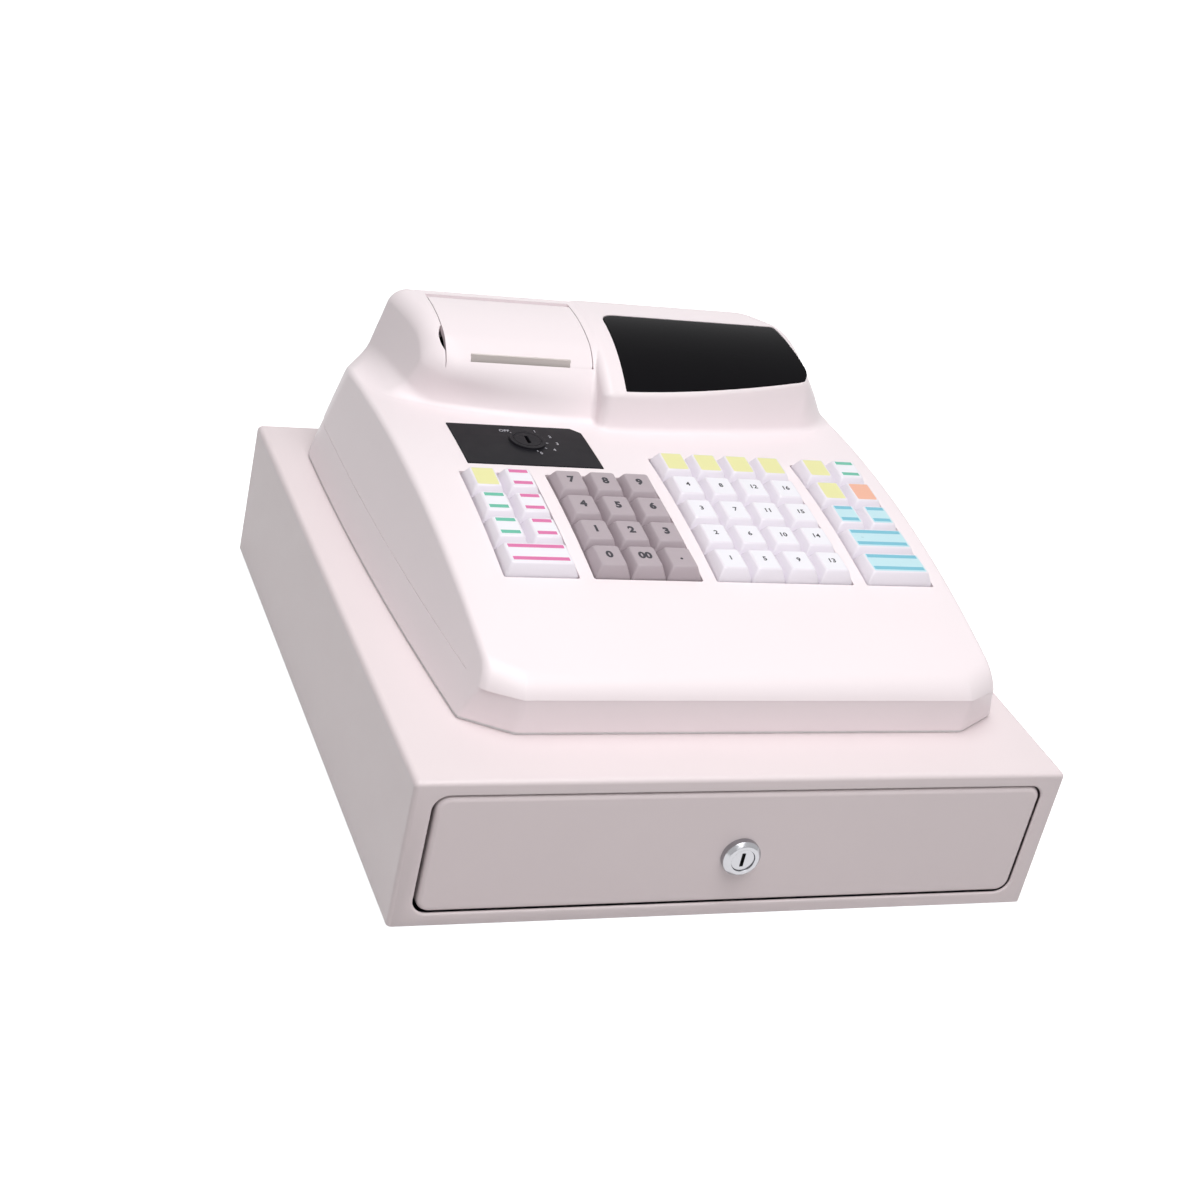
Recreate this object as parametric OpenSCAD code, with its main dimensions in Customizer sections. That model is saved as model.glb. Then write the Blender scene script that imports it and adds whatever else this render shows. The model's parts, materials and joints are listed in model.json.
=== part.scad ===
// Electronic cash register: a keyboard and printer body on a steel cash drawer.
// Millimetres. X runs to the right, Y to the back, Z up. The feet stand on Z = 0.

/* [Drawer case] */
// Width of the drawer case
case_w = 336; // [330:1:380]
// Depth of the drawer case, front to back
case_d = 352; // [350:1:400]
// Height of the drawer case without its feet
case_h = 79; // [76:1:100]
// Thickness of the sheet steel
sheet = 1.2; // [0.8:0.1:1.6]
// Outer radius of the folded long edges
case_bend_r = 3; // [2:0.5:5]
// Width of the front frame beside the panel
frame_side = 10; // [8:0.5:11]
// Width of the front frame above the panel
frame_top = 7.5; // [6:0.5:9]
// Width of the front frame below the panel
frame_bottom = 6.5; // [5:0.5:8]
// Height of the rubber feet
foot_h = 5; // [3:0.5:10]
// Radius of the rubber feet
foot_r = 9; // [6:0.5:12]
// Distance from the case's edges to the middle of each foot
foot_inset = 24; // [16:1:40]
// Height of the base plate's folded edges
base_lip_h = 13; // [11:1:14]
// Radius of a case screw's head
case_screw_head_r = 3.5; // [3:0.1:4.5]
// Thickness of a case screw's head
case_screw_head_h = 1.6; // [1:0.1:2.4]
// Radius of a case screw's thread
case_screw_r = 1.5; // [1.2:0.1:2]
// Length of a case screw under its head
case_screw_len = 6; // [4:0.5:8]

/* [Drawer] */
// Gap between the panel and the front frame
panel_gap = 0.8; // [0.5:0.1:1.2]
// Radius of the panel's corners
panel_corner_r = 7; // [3:0.5:12]
// Depth of the panel's folded rim
panel_depth = 12; // [9:0.5:13]
// Room for the rails between the sliding tray and the edge of the front opening
rail_room = 12; // [11:0.5:16]
// Height of the sliding tray
box_h = 52; // [46:1:56]
// Space under the sliding tray, above the frame's lower edge
box_lift = 2; // [1:0.5:4]
// Room between the sliding tray and the back of the case
box_back_room = 22; // [21:0.5:30]
// Height of the fixed rails
rail_h = 24; // [18:1:30]
// Height of the fixed rails' lower edge above the case's bottom
rail_lift = 15; // [14:1:20]
// Clearance between the fixed and the sliding rails
rail_gap = 0.4; // [0.3:0.1:0.8]

/* [Cash tray] */
// Wall of the cash tray
tray_wall = 2; // [1.5:0.1:3]
// Height of the cash tray
tray_h = 47; // [40:1:50]
// Number of note compartments
note_count = 4; // [4:1:4]
// Number of rows of coin cups
coin_rows = 2; // [1:1:2]
// Depth of each coin cup, front to back
coin_d = 46; // [36:1:56]
// Radius of the rounded bottom of a coin cup
coin_floor_r = 8; // [4:0.5:12]
// Free space between the tray and the drawer's front wall
tray_front_room = 9; // [9:0.5:14]
// Radius of the clip shaft
clip_shaft_r = 2; // [1.5:0.1:3]
// Distance from the clip shaft to the tray's back
clip_shaft_back = 26; // [18:1:40]
// Height of the clip shaft below the tray's rim
clip_shaft_drop = 7; // [6:0.5:9]
// Radius of a clip's hub
clip_hub_r = 4.5; // [3.8:0.1:5]
// Length of a clip's arm
clip_arm_len = 80; // [60:1:90]
// Width of a clip's arm
clip_arm_w = 14; // [8:1:24]
// Thickness of a clip's arm
clip_arm_t = 1.8; // [1.2:0.1:3]
// Radius of the bar at a clip's end
clip_bar_r = 3; // [2:0.1:4]
// Length of the bar at a clip's end
clip_bar_len = 46; // [30:1:60]

/* [Drawer lock] */
// Height of the lock's middle above the case's bottom
lock_lift = 35; // [30:0.5:40]
// Radius of the chrome bezel
lock_bezel_r = 9.75; // [8.5:0.25:12]
// How far the bezel stands out of the panel
lock_proud = 5; // [3:0.5:8]
// Radius of the lock's barrel
lock_barrel_r = 7.8; // [7:0.1:8.4]
// Radius of the turning core
lock_core_r = 6; // [5:0.1:6.4]
// Radial running clearance of turning parts
run_fit = 0.05; // [0.02:0.01:0.09]
// Thickness of the lock's tongue
cam_t = 2; // [1.5:0.1:2.5]
// Reach of the lock's tongue from the core's axis
cam_reach = 40; // [39:0.5:42]
// Width of the lock's tongue
cam_w = 14; // [8:0.5:16]

/* [Drawer latch] */
// Distance from the drawer's middle to the striker
striker_x = 60; // [40:1:80]
// Width of the striker
striker_w = 18; // [12:1:24]
// Thickness of the latch lever
latch_t = 3; // [2:0.5:4]
// Distance from the striker to the lever's pivot
latch_reach = 30; // [26:1:36]
// Radius of the lever's pivot pin
latch_pin_r = 2; // [1.5:0.1:2.5]
// Radius of the solenoid's coil
coil_r = 7; // [5:0.5:7]
// Radius of the ejector spring
spring_r = 6; // [5:0.5:8]
// Wire radius of the ejector spring
spring_wire_r = 0.7; // [0.5:0.1:1]

/* [Register body] */
// Width of the register body at its base
body_w = 310; // [300:1:320]
// Distance that the body stands right of the drawer's middle
body_x = 7.5; // [0:0.5:8]
// Distance from the case's front to the body's front
body_front = 33.5; // [28:0.5:40]
// Distance from the case's front to the body's back
body_back = 338; // [330:0.5:344]
// How far the lower housing slopes in at its front foot
base_in_front = 5; // [2:0.5:8]
// How far the body slopes in at its back foot
base_in_back = 20; // [12:0.5:22]
// Height over which the body's back slopes out
back_rise = 27; // [20:0.5:28]
// Height of the plinth under the lower housing
plinth_h = 1.5; // [1:0.1:3]
// Height of the lower housing
seam_h = 18.5; // [17:0.5:22]
// Wall of both housings
wall = 2.5; // [2:0.1:3]
// Radius of the bowed sides, seen from above
side_r = 2300; // [1800:50:3000]
// Distance from the case's front to the widest place of the sides
side_y = 284.5; // [260:0.5:300]
// Inward lean of the sides in degrees
side_lean = 16.7; // [8:0.1:18]
// Radius of the arched deck, seen from the side
deck_r = 750; // [700:10:900]
// Distance from the case's front to the deck's highest place
deck_peak_y = 245; // [235:1:255]
// Height of the deck's highest place above the drawer case
deck_peak = 56.6; // [54:0.1:62]
// Radius of the nose between the deck and the front
nose_r = 15; // [10:0.5:18]
// Half the width of the front between its corner facets
facet_x = 114; // [100:0.5:120]
// Turn of the corner facets in degrees
facet_turn = 32; // [15:1:35]
// Size of the facets at the back corners
back_facet = 12; // [6:0.5:18]
// Depth of the groove along the housing seam
seam_groove = 0.8; // [0.4:0.1:1.2]

/* [Hood] */
// Half the width of the hood at the front of its left foot
hood_half_w = 115.6; // [112:0.2:118]
// Outward turn of the hood's left side in degrees
hood_flare = 10; // [4:1:14]
// Inward lean of the hood's left side in degrees
hood_lean = 10; // [4:1:14]
// Half the width of the hood at the front of its right foot
hood_right_w = 129.5; // [124:0.5:131]
// Outward turn of the hood's right side in degrees
hood_right_flare = 5; // [2:1:6]
// Inward lean of the hood's right side in degrees
hood_right_lean = 30; // [20:1:32]
// Depth of the hood at its foot
hood_d = 89.4; // [86:0.1:92]
// How far the printer's side of the hood is set back
hood_setback = 9.2; // [8:0.1:10]
// How far the printer's side of the hood lies lower
hood_drop = 0.8; // [0.5:0.1:2]
// Radius of the bowed hood front below the display, seen from above
hood_bow_r = 700; // [600:10:900]
// Radius of the bowed hood front below the printer, seen from above
printer_bow_r = 350; // [330:5:500]
// Backward lean of the hood's lip below the display in degrees
lip_lean = 7; // [3:1:10]
// Radius of the edge between the printer's lip and the hood's top
lip_edge_r = 14; // [8:0.5:15]
// Radius of the hood's top, seen from the side
hood_r = 110; // [105:1:120]
// Height of the hood's top above the drawer case
hood_top = 98; // [96:0.5:104]
// Distance from the hood's front to its top line
hood_top_d = 67.1; // [62:0.1:70]
// Radius of the edge between the hood's top and back
hood_edge_r = 9; // [6:0.5:12]
// Wall of the hood
hood_wall = 3.6; // [3.2:0.1:4]
// Left edge of the display window
window_x0 = 4.5; // [3:0.5:10]
// Width of the display window
window_w = 110; // [96:0.5:111]
// Distance from the hood's front to the window
window_margin = 4.4; // [4:0.1:6]
// Distance from the window to the hood's top line
window_top_margin = 3.5; // [2:0.5:8]
// Thickness of the display window
window_t = 2; // [1.5:0.1:2.2]
// Gap round inset pieces such as windows
inset_gap = 0.3; // [0.2:0.05:0.5]
// Left edge of the display in the back of the hood
rear_display_x0 = 35; // [20:1:50]
// Width of the display in the back of the hood
rear_display_w = 64; // [50:1:70]
// Height of the display in the back of the hood
rear_display_h = 18; // [14:0.5:20]

/* [Ticket printer] */
// Left edge of the printer's lid
lid_x0 = -93.5; // [-94:0.5:-90]
// Width of the printer's lid
lid_w = 83; // [78:0.5:84]
// Distance from the hood's front to the lid's front edge
lid_margin = 22.4; // [22:0.1:24]
// Distance from the lid's hinge to the body's back
lid_hinge_back = 17; // [16:0.5:19]
// Radius of the lid's hinge barrel
lid_barrel_r = 4; // [3.5:0.5:5]
// Radius of the lid's hinge pins
lid_pin_r = 2; // [1.5:0.1:2.5]
// Gap round the lid
lid_gap = 0.5; // [0.4:0.1:0.8]
// Length of the ticket slit
slit_w = 57; // [50:1:60]
// Width of the ticket slit
slit_d = 2.5; // [2:0.1:3]
// Radius of the finger notch beside the lid
notch_r = 12; // [8:0.5:14]
// How far the finger notch reaches out beside the lid
notch_w = 3; // [2:0.1:4]
// Radius of the paper roll
paper_r = 20.5; // [16:0.5:21]
// Radius of the paper roll's core
paper_core_r = 6; // [5:0.5:8]
// Radius of the platen roller
platen_r = 4.5; // [4:0.1:5]
// Radius of the platen's shaft
platen_shaft_r = 2; // [1.5:0.1:3]

/* [Mode switch] */
// Left edge of the mode plate
plate_x0 = -96; // [-98:0.5:-92]
// Width of the mode plate
plate_w = 75; // [60:0.5:80]
// Distance from the mode plate's front edge to the hood's front
plate_margin = 44.6; // [43:0.1:46]
// Depth of the mode plate, front to back
plate_d = 44; // [36:0.5:46]
// Thickness of the mode plate
plate_t = 1; // [0.8:0.1:1.4]
// How far the mode plate stands out of the deck
plate_proud = 0.4; // [0.2:0.1:0.6]
// Radius of the mode switch's core
mode_core_r = 7.5; // [6:0.1:8]
// Radius of the ring round the mode switch
mode_ring_r = 10; // [9.5:0.1:12]
// Distance from the plate's left edge to the mode switch
mode_dx = 40; // [30:0.5:48]
// Distance from the plate's front edge to the mode switch
mode_dy = 26; // [20:0.5:30]

/* [Keyboard] */
// Distance between keys, side to side
key_pitch_x = 19.05; // [18:0.05:19.2]
// Distance between keys, front to back
key_pitch_y = 22; // [20:0.1:22.2]
// Gap between neighbouring key caps
key_gap = 0.6; // [0.5:0.1:1]
// Gap between the blocks of keys
block_gap = 8.5; // [7:0.1:8.6]
// Left edge of the leftmost block of keys
keys_x0 = -103; // [-104:0.5:-101]
// Distance from the keyboard's front edge to the hood's front
keys_margin = 141.1; // [140:0.1:142]
// Height of the key caps above the deck
key_h = 6.5; // [5:0.1:8]
// Height of the key caps' straight skirt
key_skirt = 2.5; // [2:0.1:3.5]
// How far the key caps' sides slope in
key_taper = 2.6; // [2:0.1:3.5]
// Distance that a key travels
key_travel = 2.5; // [1.5:0.1:2.8]
// Width of a key's stem
key_stem = 5; // [4:0.1:6]
// Clearance round a key's stem
stem_gap = 0.5; // [0.5:0.05:0.8]
// Thickness of the plate that guides the stems
guide_t = 2; // [1.5:0.1:3]
// Thickness of the circuit boards
board_t = 1.6; // [1:0.1:2]

/* [Hidden] */

$fn = 96;
// Finer steps for arcs of a very large radius
large_fn = 1440;
// Overshoot of a cut past a face, and overlap of solids that become one
over = 1;

// Colours
body_white = [0.97, 0.94, 0.95];
steel_paint = [0.80, 0.76, 0.77];
zinc = [0.72, 0.73, 0.75];
chrome = [0.85, 0.86, 0.88];
smoke = [0.10, 0.10, 0.11];
black_plastic = [0.15, 0.15, 0.17];
dark_rubber = [0.12, 0.12, 0.12];
board_green = [0.12, 0.36, 0.22];
copper = [0.72, 0.45, 0.20];
key_grey = [0.66, 0.62, 0.64];
key_white = [0.93, 0.91, 0.94];
paper_white = [0.97, 0.97, 0.95];

// Drawer case
case_z = foot_h;
case_top = case_z + case_h;
// Y of the case's front, so that the whole part is centred front to back
front_y = (lock_proud - case_screw_head_h - case_d) / 2;
inner_x = case_w / 2 - sheet;
opening_w = case_w - 2 * frame_side;
opening_h = case_h - frame_top - frame_bottom;
opening_z = case_z + frame_bottom + opening_h / 2;
base_fit = 0.1;
case_screw_x = [-140, -50, 50, 140];
case_screw_z = case_z + 7;
hole_fit = 0.1;

// Drawer
panel_w = opening_w - 2 * panel_gap;
panel_h = opening_h - 2 * panel_gap;
box_w = opening_w - 2 * rail_room;
box_y0 = panel_depth;
box_y1 = case_d - box_back_room;
box_z = case_z + frame_bottom + box_lift;
box_front_margin = 0.6;
rail_z = case_z + rail_lift;
// The fixed rail's web stands just inside the front opening's edge
rail_web_x = opening_w / 2 - panel_gap;
rail_open_x = box_w / 2 + 2;
rail_y0 = box_y0 + sheet + 1;

// Cash tray
tray_side_gap = 1.5;
tray_w = box_w - 2 * sheet - 2 * tray_side_gap;
tray_y0 = box_y0 + sheet + tray_front_room;
tray_y1 = box_y1 - sheet - 0.8;
tray_z = box_z + sheet;
tray_top = tray_z + tray_h;
cell_w = (tray_w - (note_count + 1) * tray_wall) / note_count;
notes_y0 = tray_y0 + tray_wall + coin_rows * (coin_d + tray_wall);
clip_y = tray_y1 - clip_shaft_back;
clip_z = tray_top - clip_shaft_drop;
soft_gap = 0.3;
clip_bar_z = tray_z + tray_wall + clip_bar_r + soft_gap;
clip_angle = asin((clip_z - clip_bar_z) / clip_arm_len);

// Drawer lock
lock_z = case_z + lock_lift;
cam_y = tray_y0 - 1.5 - cam_t;
keeper_y = cam_y - 1.3 - sheet;
keeper_w = 24;
keeper_drop = frame_top - sheet - 0.5;
lock_nut_t = 3;
lock_nut_r = 11;

// Drawer latch
striker_z = box_z + 16.5;
striker_lip_h = 5;
striker_len = 13;
latch_y = box_y1 + 6.5;
latch_pin_x = striker_x + latch_reach;
latch_pin_z = striker_z + 14;
latch_bracket_y = box_y1 + 16;
latch_tip_z = striker_z + sheet + striker_lip_h + 1.5;
latch_bar_h = 7;
latch_tail = 30;
coil_x = latch_pin_x + latch_tail - 4;
coil_top = latch_pin_z - latch_bar_h / 2 - 5;
spring_turns = 5;
spring_steps = 14;
spring_sides = 6;
spring_x = -60;
spring_z = box_z + box_h / 2;
spring_y0 = box_y1 + soft_gap + spring_wire_r;
spring_y1 = case_d - sheet - spring_wire_r;

// Register body
body_base = case_top + plinth_h;
seam_z = body_base + seam_h;
base_front = body_front + base_in_front;
base_back = body_back - base_in_back;
lean_slope = tan(side_lean);
deck_cz = case_top + deck_peak - deck_r;
function deck_z(y) = deck_cz + sqrt(pow(deck_r, 2) - pow(y - deck_peak_y, 2));
nose_y = body_front + nose_r;
nose_z = deck_cz + sqrt(pow(deck_r - nose_r, 2) - pow(nose_y - deck_peak_y, 2));
nose_dir = [nose_y - deck_peak_y, nose_z - deck_cz] / (deck_r - nose_r);
facet_lean = atan(base_in_front / seam_h);
back_lean = atan(lean_slope * cos(45));
seam_back = base_back + base_in_back * seam_h / back_rise;
housing_top = case_top + hood_top + over;

// Hood
hood_front = body_back - hood_d;
hood_cy = hood_front + hood_top_d;
hood_cz = case_top + hood_top - hood_r;
hood_side_y = hood_front + 13.4;
display_bow_x = -15;
printer_bow_x = -5;
hood_foot_z = case_top + deck_peak;
hood_root_z = hood_foot_z - 14;
split_x = lid_x0 + lid_w + lid_gap + 1.5;
function hood_z(y, r) = hood_cz + sqrt(pow(r, 2) - pow(y - hood_cy, 2));
window_back = hood_cy - window_top_margin;
window_ledge = 10.5;
display_post_x = window_w / 2 - 7.5;
display_post_y = 17;
display_depth = 14;
display_y = (hood_front + window_margin + window_back) / 2;
display_tilt = asin((hood_cy - display_y) / hood_r);
rear_display_z = case_top + hood_top - 34;

// Ticket printer
lid_r = hood_r - hood_drop;
lid_front = hood_front + lid_margin;
lid_hinge_y = body_back - lid_hinge_back;
lid_hinge_z = hood_z(lid_hinge_y, lid_r) - lid_barrel_r;
lid_x1 = lid_x0 + lid_w;
lid_mid_x = (lid_x0 + lid_x1) / 2;
lid_pin_len = 4;
roll_y = lid_hinge_y - paper_r;
roll_z = case_top + 64;
roll_w = slit_w;
platen_y = lid_front + slit_d + 3;
platen_wall = 4.5;
platen_z = case_top + 76;
frame_plate_t = 2;
frame_x0 = lid_mid_x - roll_w / 2 - 5;
frame_x1 = lid_mid_x + roll_w / 2 + 5;
frame_floor_z = case_top + 40;

// Mode switch
plate_y0 = hood_front - plate_margin;
mode_x = plate_x0 + mode_dx;
mode_y = plate_y0 + mode_dy;
mode_tilt = asin((deck_peak_y - mode_y) / deck_r);
mode_boss_h = 6;
mode_core_h = 13;

// Keyboard
keyboard_d = 5 * key_pitch_y;
keys_y0 = hood_front - keys_margin;
keys_y1 = keys_y0 + keyboard_d;
key_tilt = atan((deck_z(keys_y1) - deck_z(keys_y0)) / (keys_y1 - keys_y0));
left_x = keys_x0;
numeric_x = left_x + 2 * key_pitch_x + block_gap;
department_x = numeric_x + 3 * key_pitch_x + block_gap;
right_x = department_x + 4 * key_pitch_x + block_gap;
keyboard_x1 = right_x + 2 * key_pitch_x;
// Blocks of keys: left edge, columns, rows
BLOCKS = [[left_x, 2, 4], [numeric_x, 3, 4], [department_x, 4, 5], [right_x, 2, 5]];
// Heights along the keys' travel, from the plane of the deck at the key blocks
cap_foot = -2;
stem_foot = -11.6;
guide_z = -9;
guide_margin = 3;
board_z = stem_foot - key_travel - 0.3 - board_t;
post_r = 2.5;

// Screws between the housings
screw_y0 = body_front + 54.5;
screw_y1 = body_back - 42;
SCREW_SPOTS = [[-118, screw_y0], [118, screw_y0], [-128, screw_y1], [128, screw_y1]];
screw_r = 1.5;
screw_head_r = 3.2;
screw_head_h = 2;
screw_len = 27;
screw_post_r = 4;
inlet_x = body_x + 80;
inlet_z = seam_z + 17;
inlet_d = 16;
transformer_w = 56;
transformer_d = 32;
transformer_h = 42;
transformer_leg = 10;
coil_out = 8;
foot_out = 6;
board_standoff = 4;
board_x0 = -70;
board_w = 120;
board_y0 = 70;
board_d = 90;

// Helpers

// A 2D shape of Y and Z, drawn from x0 to x1
module along_x(x0, x1) {
    translate([x0, 0, 0])
        rotate([90, 0, 90])
            linear_extrude(height = x1 - x0)
                children();
}

// A 2D shape of X and Z, drawn from y0 to y1
module along_y(y0, y1) {
    translate([0, y1, 0])
        rotate([90, 0, 0])
            linear_extrude(height = y1 - y0)
                children();
}

// A box between two corners
module block(low, high) {
    translate(low)
        cube(high - low);
}

// A round bar along X
module bar_x(x0, x1, y, z, r) {
    translate([x0, y, z])
        rotate([0, 90, 0])
            cylinder(r = r, h = x1 - x0);
}

// A round bar along Y
module bar_y(x, y0, y1, z, r) {
    translate([x, y1, z])
        rotate([90, 0, 0])
            cylinder(r = r, h = y1 - y0);
}

// A rectangle with round corners, centred on the origin
module round_rect(w, h, r) {
    square([w, h - 2 * r], center = true);
    square([w - 2 * r, h], center = true);
    for (x = [-1, 1])
        for (y = [-1, 1])
            translate([x * (w / 2 - r), y * (h / 2 - r)])
                circle(r = r);
}

// A rectangle whose two upper corners are round
module round_top(w, z0, z1, r) {
    translate([-w / 2, z0])
        square([w, z1 - r - z0]);
    translate([-w / 2 + r, z0])
        square([w - 2 * r, z1 - z0]);
    for (s = [-1, 1])
        translate([s * (w / 2 - r), z1 - r])
            circle(r = r);
}

// Everything is placed from the middle of the case's front edge
module placed() {
    translate([0, front_y, 0])
        children();
}

// Drawer case

module drawer_case() {
    color(steel_paint)
        placed() {
            difference() {
                along_y(0, case_d)
                    round_top(case_w, case_z, case_top, case_bend_r);
                along_y(sheet, case_d - sheet)
                    round_top(2 * inner_x, case_z - over, case_top - sheet, case_bend_r - sheet / 2);
                along_y(-over, sheet + over)
                    translate([0, opening_z])
                        round_rect(opening_w, opening_h, panel_corner_r + panel_gap);
                for (x = case_screw_x)
                    bar_y(x, case_d - 2 * sheet, case_d + over, case_screw_z, case_screw_r + hole_fit);
            }
            block([-keeper_w / 2, keeper_y, case_top - sheet - keeper_drop],
                  [keeper_w / 2, keeper_y + sheet, case_top - sheet / 2]);
        }
}

module base_plate() {
    x1 = inner_x - base_fit;
    y0 = sheet + base_fit;
    y1 = case_d - sheet - base_fit;
    lip_top = case_z + base_lip_h;
    color(zinc)
        placed()
            difference() {
                block([-x1, y0, case_z], [x1, y1, lip_top]);
                block([-x1 + sheet, y0 - over, case_z + sheet], [x1 - sheet, y1 - sheet, lip_top + over]);
                block([-x1 - over, y0 - over, case_z + sheet],
                      [x1 + over, y0 + panel_depth, lip_top + over]);
                for (x = case_screw_x)
                    bar_y(x, y1 - 2 * sheet, y1 + over, case_screw_z, case_screw_r + hole_fit);
            }
}

module rubber_feet() {
    color(dark_rubber)
        placed()
            for (x = [-1, 1])
                for (y = [foot_inset, case_d - foot_inset])
                    translate([x * (case_w / 2 - foot_inset), y, 0])
                        cylinder(r1 = foot_r - 1, r2 = foot_r, h = foot_h);
}

module case_rails() {
    color(zinc)
        placed()
            for (s = [0, 1])
                mirror([s, 0, 0])
                    along_y(rail_y0, case_d - 8)
                        difference() {
                            translate([rail_open_x, rail_z])
                                square([inner_x - rail_open_x, rail_h]);
                            translate([rail_open_x - over, rail_z + sheet])
                                square([rail_web_x - rail_open_x + over, rail_h - 2 * sheet]);
                            translate([rail_web_x + sheet, rail_z + sheet])
                                square([inner_x - rail_web_x - 2 * sheet, rail_h - 2 * sheet]);
                        }
}

module case_screws() {
    color(zinc)
        placed()
            for (x = case_screw_x) {
                bar_y(x, case_d, case_d + case_screw_head_h, case_screw_z, case_screw_head_r);
                bar_y(x, case_d - case_screw_len, case_d, case_screw_z, case_screw_r);
            }
}

// Drawer

module drawer_box() {
    x1 = box_w / 2;
    front_x = panel_w / 2 - box_front_margin;
    front_z = panel_h / 2 - box_front_margin;
    color(zinc)
        placed() {
            difference() {
                union() {
                    block([-x1, box_y0, box_z], [x1, box_y1, box_z + box_h]);
                    block([-front_x, box_y0, opening_z - front_z],
                          [front_x, box_y0 + sheet, opening_z + front_z]);
                }
                block([-x1 + sheet, box_y0 + sheet, box_z + sheet],
                      [x1 - sheet, box_y1 - sheet, box_z + box_h + over]);
                bar_y(0, box_y0 - over, box_y0 + sheet + over, lock_z, lock_barrel_r + hole_fit);
            }
            translate([striker_x - striker_w / 2, box_y1 - sheet / 2, striker_z])
                cube([striker_w, striker_len + sheet / 2, sheet]);
            translate([striker_x - striker_w / 2, box_y1 + striker_len - sheet, striker_z])
                cube([striker_w, sheet, sheet + striker_lip_h]);
        }
}

module drawer_rails() {
    x0 = box_w / 2;
    x1 = rail_web_x - 1.5 * rail_gap;
    z0 = rail_z + sheet + rail_gap;
    h = rail_h - 2 * (sheet + rail_gap);
    color(zinc)
        placed()
            for (s = [0, 1])
                mirror([s, 0, 0])
                    along_y(box_y0 + 4, box_y1 - 2)
                        difference() {
                            translate([x0, z0])
                                square([x1 - x0, h]);
                            translate([x0 + sheet, z0 + sheet])
                                square([x1 - x0, h - 2 * sheet]);
                        }
}

module drawer_front() {
    color(steel_paint)
        placed()
            difference() {
                along_y(0, panel_depth)
                    translate([0, opening_z])
                        round_rect(panel_w, panel_h, panel_corner_r);
                along_y(sheet, panel_depth + over)
                    translate([0, opening_z])
                        round_rect(panel_w - 2 * sheet, panel_h - 2 * sheet, panel_corner_r - sheet);
                bar_y(0, -over, sheet + over, lock_z, lock_barrel_r + hole_fit);
            }
}

// One coin cup: a box with a rounded floor
module coin_cup(x0, y0) {
    floor_z = tray_z + tray_wall;
    block([x0, y0, floor_z + coin_floor_r], [x0 + cell_w, y0 + coin_d, tray_top + over]);
    block([x0, y0 + coin_floor_r, floor_z], [x0 + cell_w, y0 + coin_d - coin_floor_r, tray_top]);
    for (y = [y0 + coin_floor_r, y0 + coin_d - coin_floor_r])
        bar_x(x0, x0 + cell_w, y, floor_z + coin_floor_r, coin_floor_r);
}

module cash_tray() {
    color(black_plastic)
        placed()
            difference() {
                block([-tray_w / 2, tray_y0, tray_z], [tray_w / 2, tray_y1, tray_top]);
                for (i = [0 : note_count - 1]) {
                    x0 = -tray_w / 2 + tray_wall + i * (cell_w + tray_wall);
                    block([x0, notes_y0, tray_z + tray_wall],
                          [x0 + cell_w, tray_y1 - tray_wall, tray_top + over]);
                    for (j = [0 : coin_rows - 1])
                        coin_cup(x0, tray_y0 + tray_wall + j * (coin_d + tray_wall));
                }
                bar_x(-tray_w / 2 - over, tray_w / 2 + over, clip_y, clip_z, clip_shaft_r + run_fit);
            }
}

module clip_shaft() {
    color(zinc)
        placed()
            bar_x(-tray_w / 2, tray_w / 2, clip_y, clip_z, clip_shaft_r);
}

// A note clip over compartment i, lying down on the compartment's floor
module bill_clip(i) {
    x = -tray_w / 2 + tray_wall + i * (cell_w + tray_wall) + cell_w / 2;
    color(black_plastic)
        placed()
            difference() {
                union() {
                    bar_x(x - clip_arm_w / 2 - 4, x + clip_arm_w / 2 + 4, clip_y, clip_z, clip_hub_r);
                    translate([x, clip_y, clip_z])
                        rotate([clip_angle, 0, 0])
                            translate([-clip_arm_w / 2, -clip_arm_len, -clip_arm_t / 2])
                                cube([clip_arm_w, clip_arm_len, clip_arm_t]);
                    bar_x(x - clip_bar_len / 2, x + clip_bar_len / 2,
                          clip_y - clip_arm_len * cos(clip_angle), clip_bar_z, clip_bar_r);
                }
                bar_x(x - clip_arm_w, x + clip_arm_w, clip_y, clip_z, clip_shaft_r + run_fit);
            }
}

// Drawer lock, which lies along Y at the middle of the panel

module lock_barrel() {
    bezel_chamfer = 1.8;
    color(chrome)
        placed() {
            translate([0, 0, lock_z])
                rotate([-90, 0, 0])
                    rotate_extrude()
                        polygon([
                            [lock_core_r + run_fit, -lock_proud],
                            [lock_bezel_r - bezel_chamfer, -lock_proud],
                            [lock_bezel_r, bezel_chamfer - lock_proud],
                            [lock_bezel_r, 0],
                            [lock_barrel_r, 0],
                            [lock_barrel_r, cam_y - 0.5],
                            [lock_core_r + run_fit, cam_y - 0.5]
                        ]);
            difference() {
                translate([0, sheet, lock_z])
                    rotate([-90, 0, 0])
                        cylinder(r = lock_nut_r, h = lock_nut_t, $fn = 6);
                bar_y(0, 0, sheet + lock_nut_t + over, lock_z, lock_barrel_r + hole_fit);
            }
        }
}

module lock_cylinder() {
    slot_w = 1.8;
    slot_h = 7.5;
    slot_deep = 7;
    core_front = 0.8 - lock_proud;
    color(chrome)
        placed()
            difference() {
                bar_y(0, core_front, cam_y, lock_z, lock_core_r);
                block([-slot_w / 2, core_front - over, lock_z - slot_h / 2],
                      [slot_w / 2, core_front + slot_deep, lock_z + slot_h / 2]);
            }
}

module lock_cam() {
    color(zinc)
        placed()
            union() {
                block([0, cam_y, lock_z - cam_w / 2], [cam_reach, cam_y + cam_t, lock_z + cam_w / 2]);
                bar_y(0, cam_y, cam_y + cam_t, lock_z, cam_w / 2);
            }
}

// Drawer latch, which lifts a lever over the striker's lip

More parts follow.
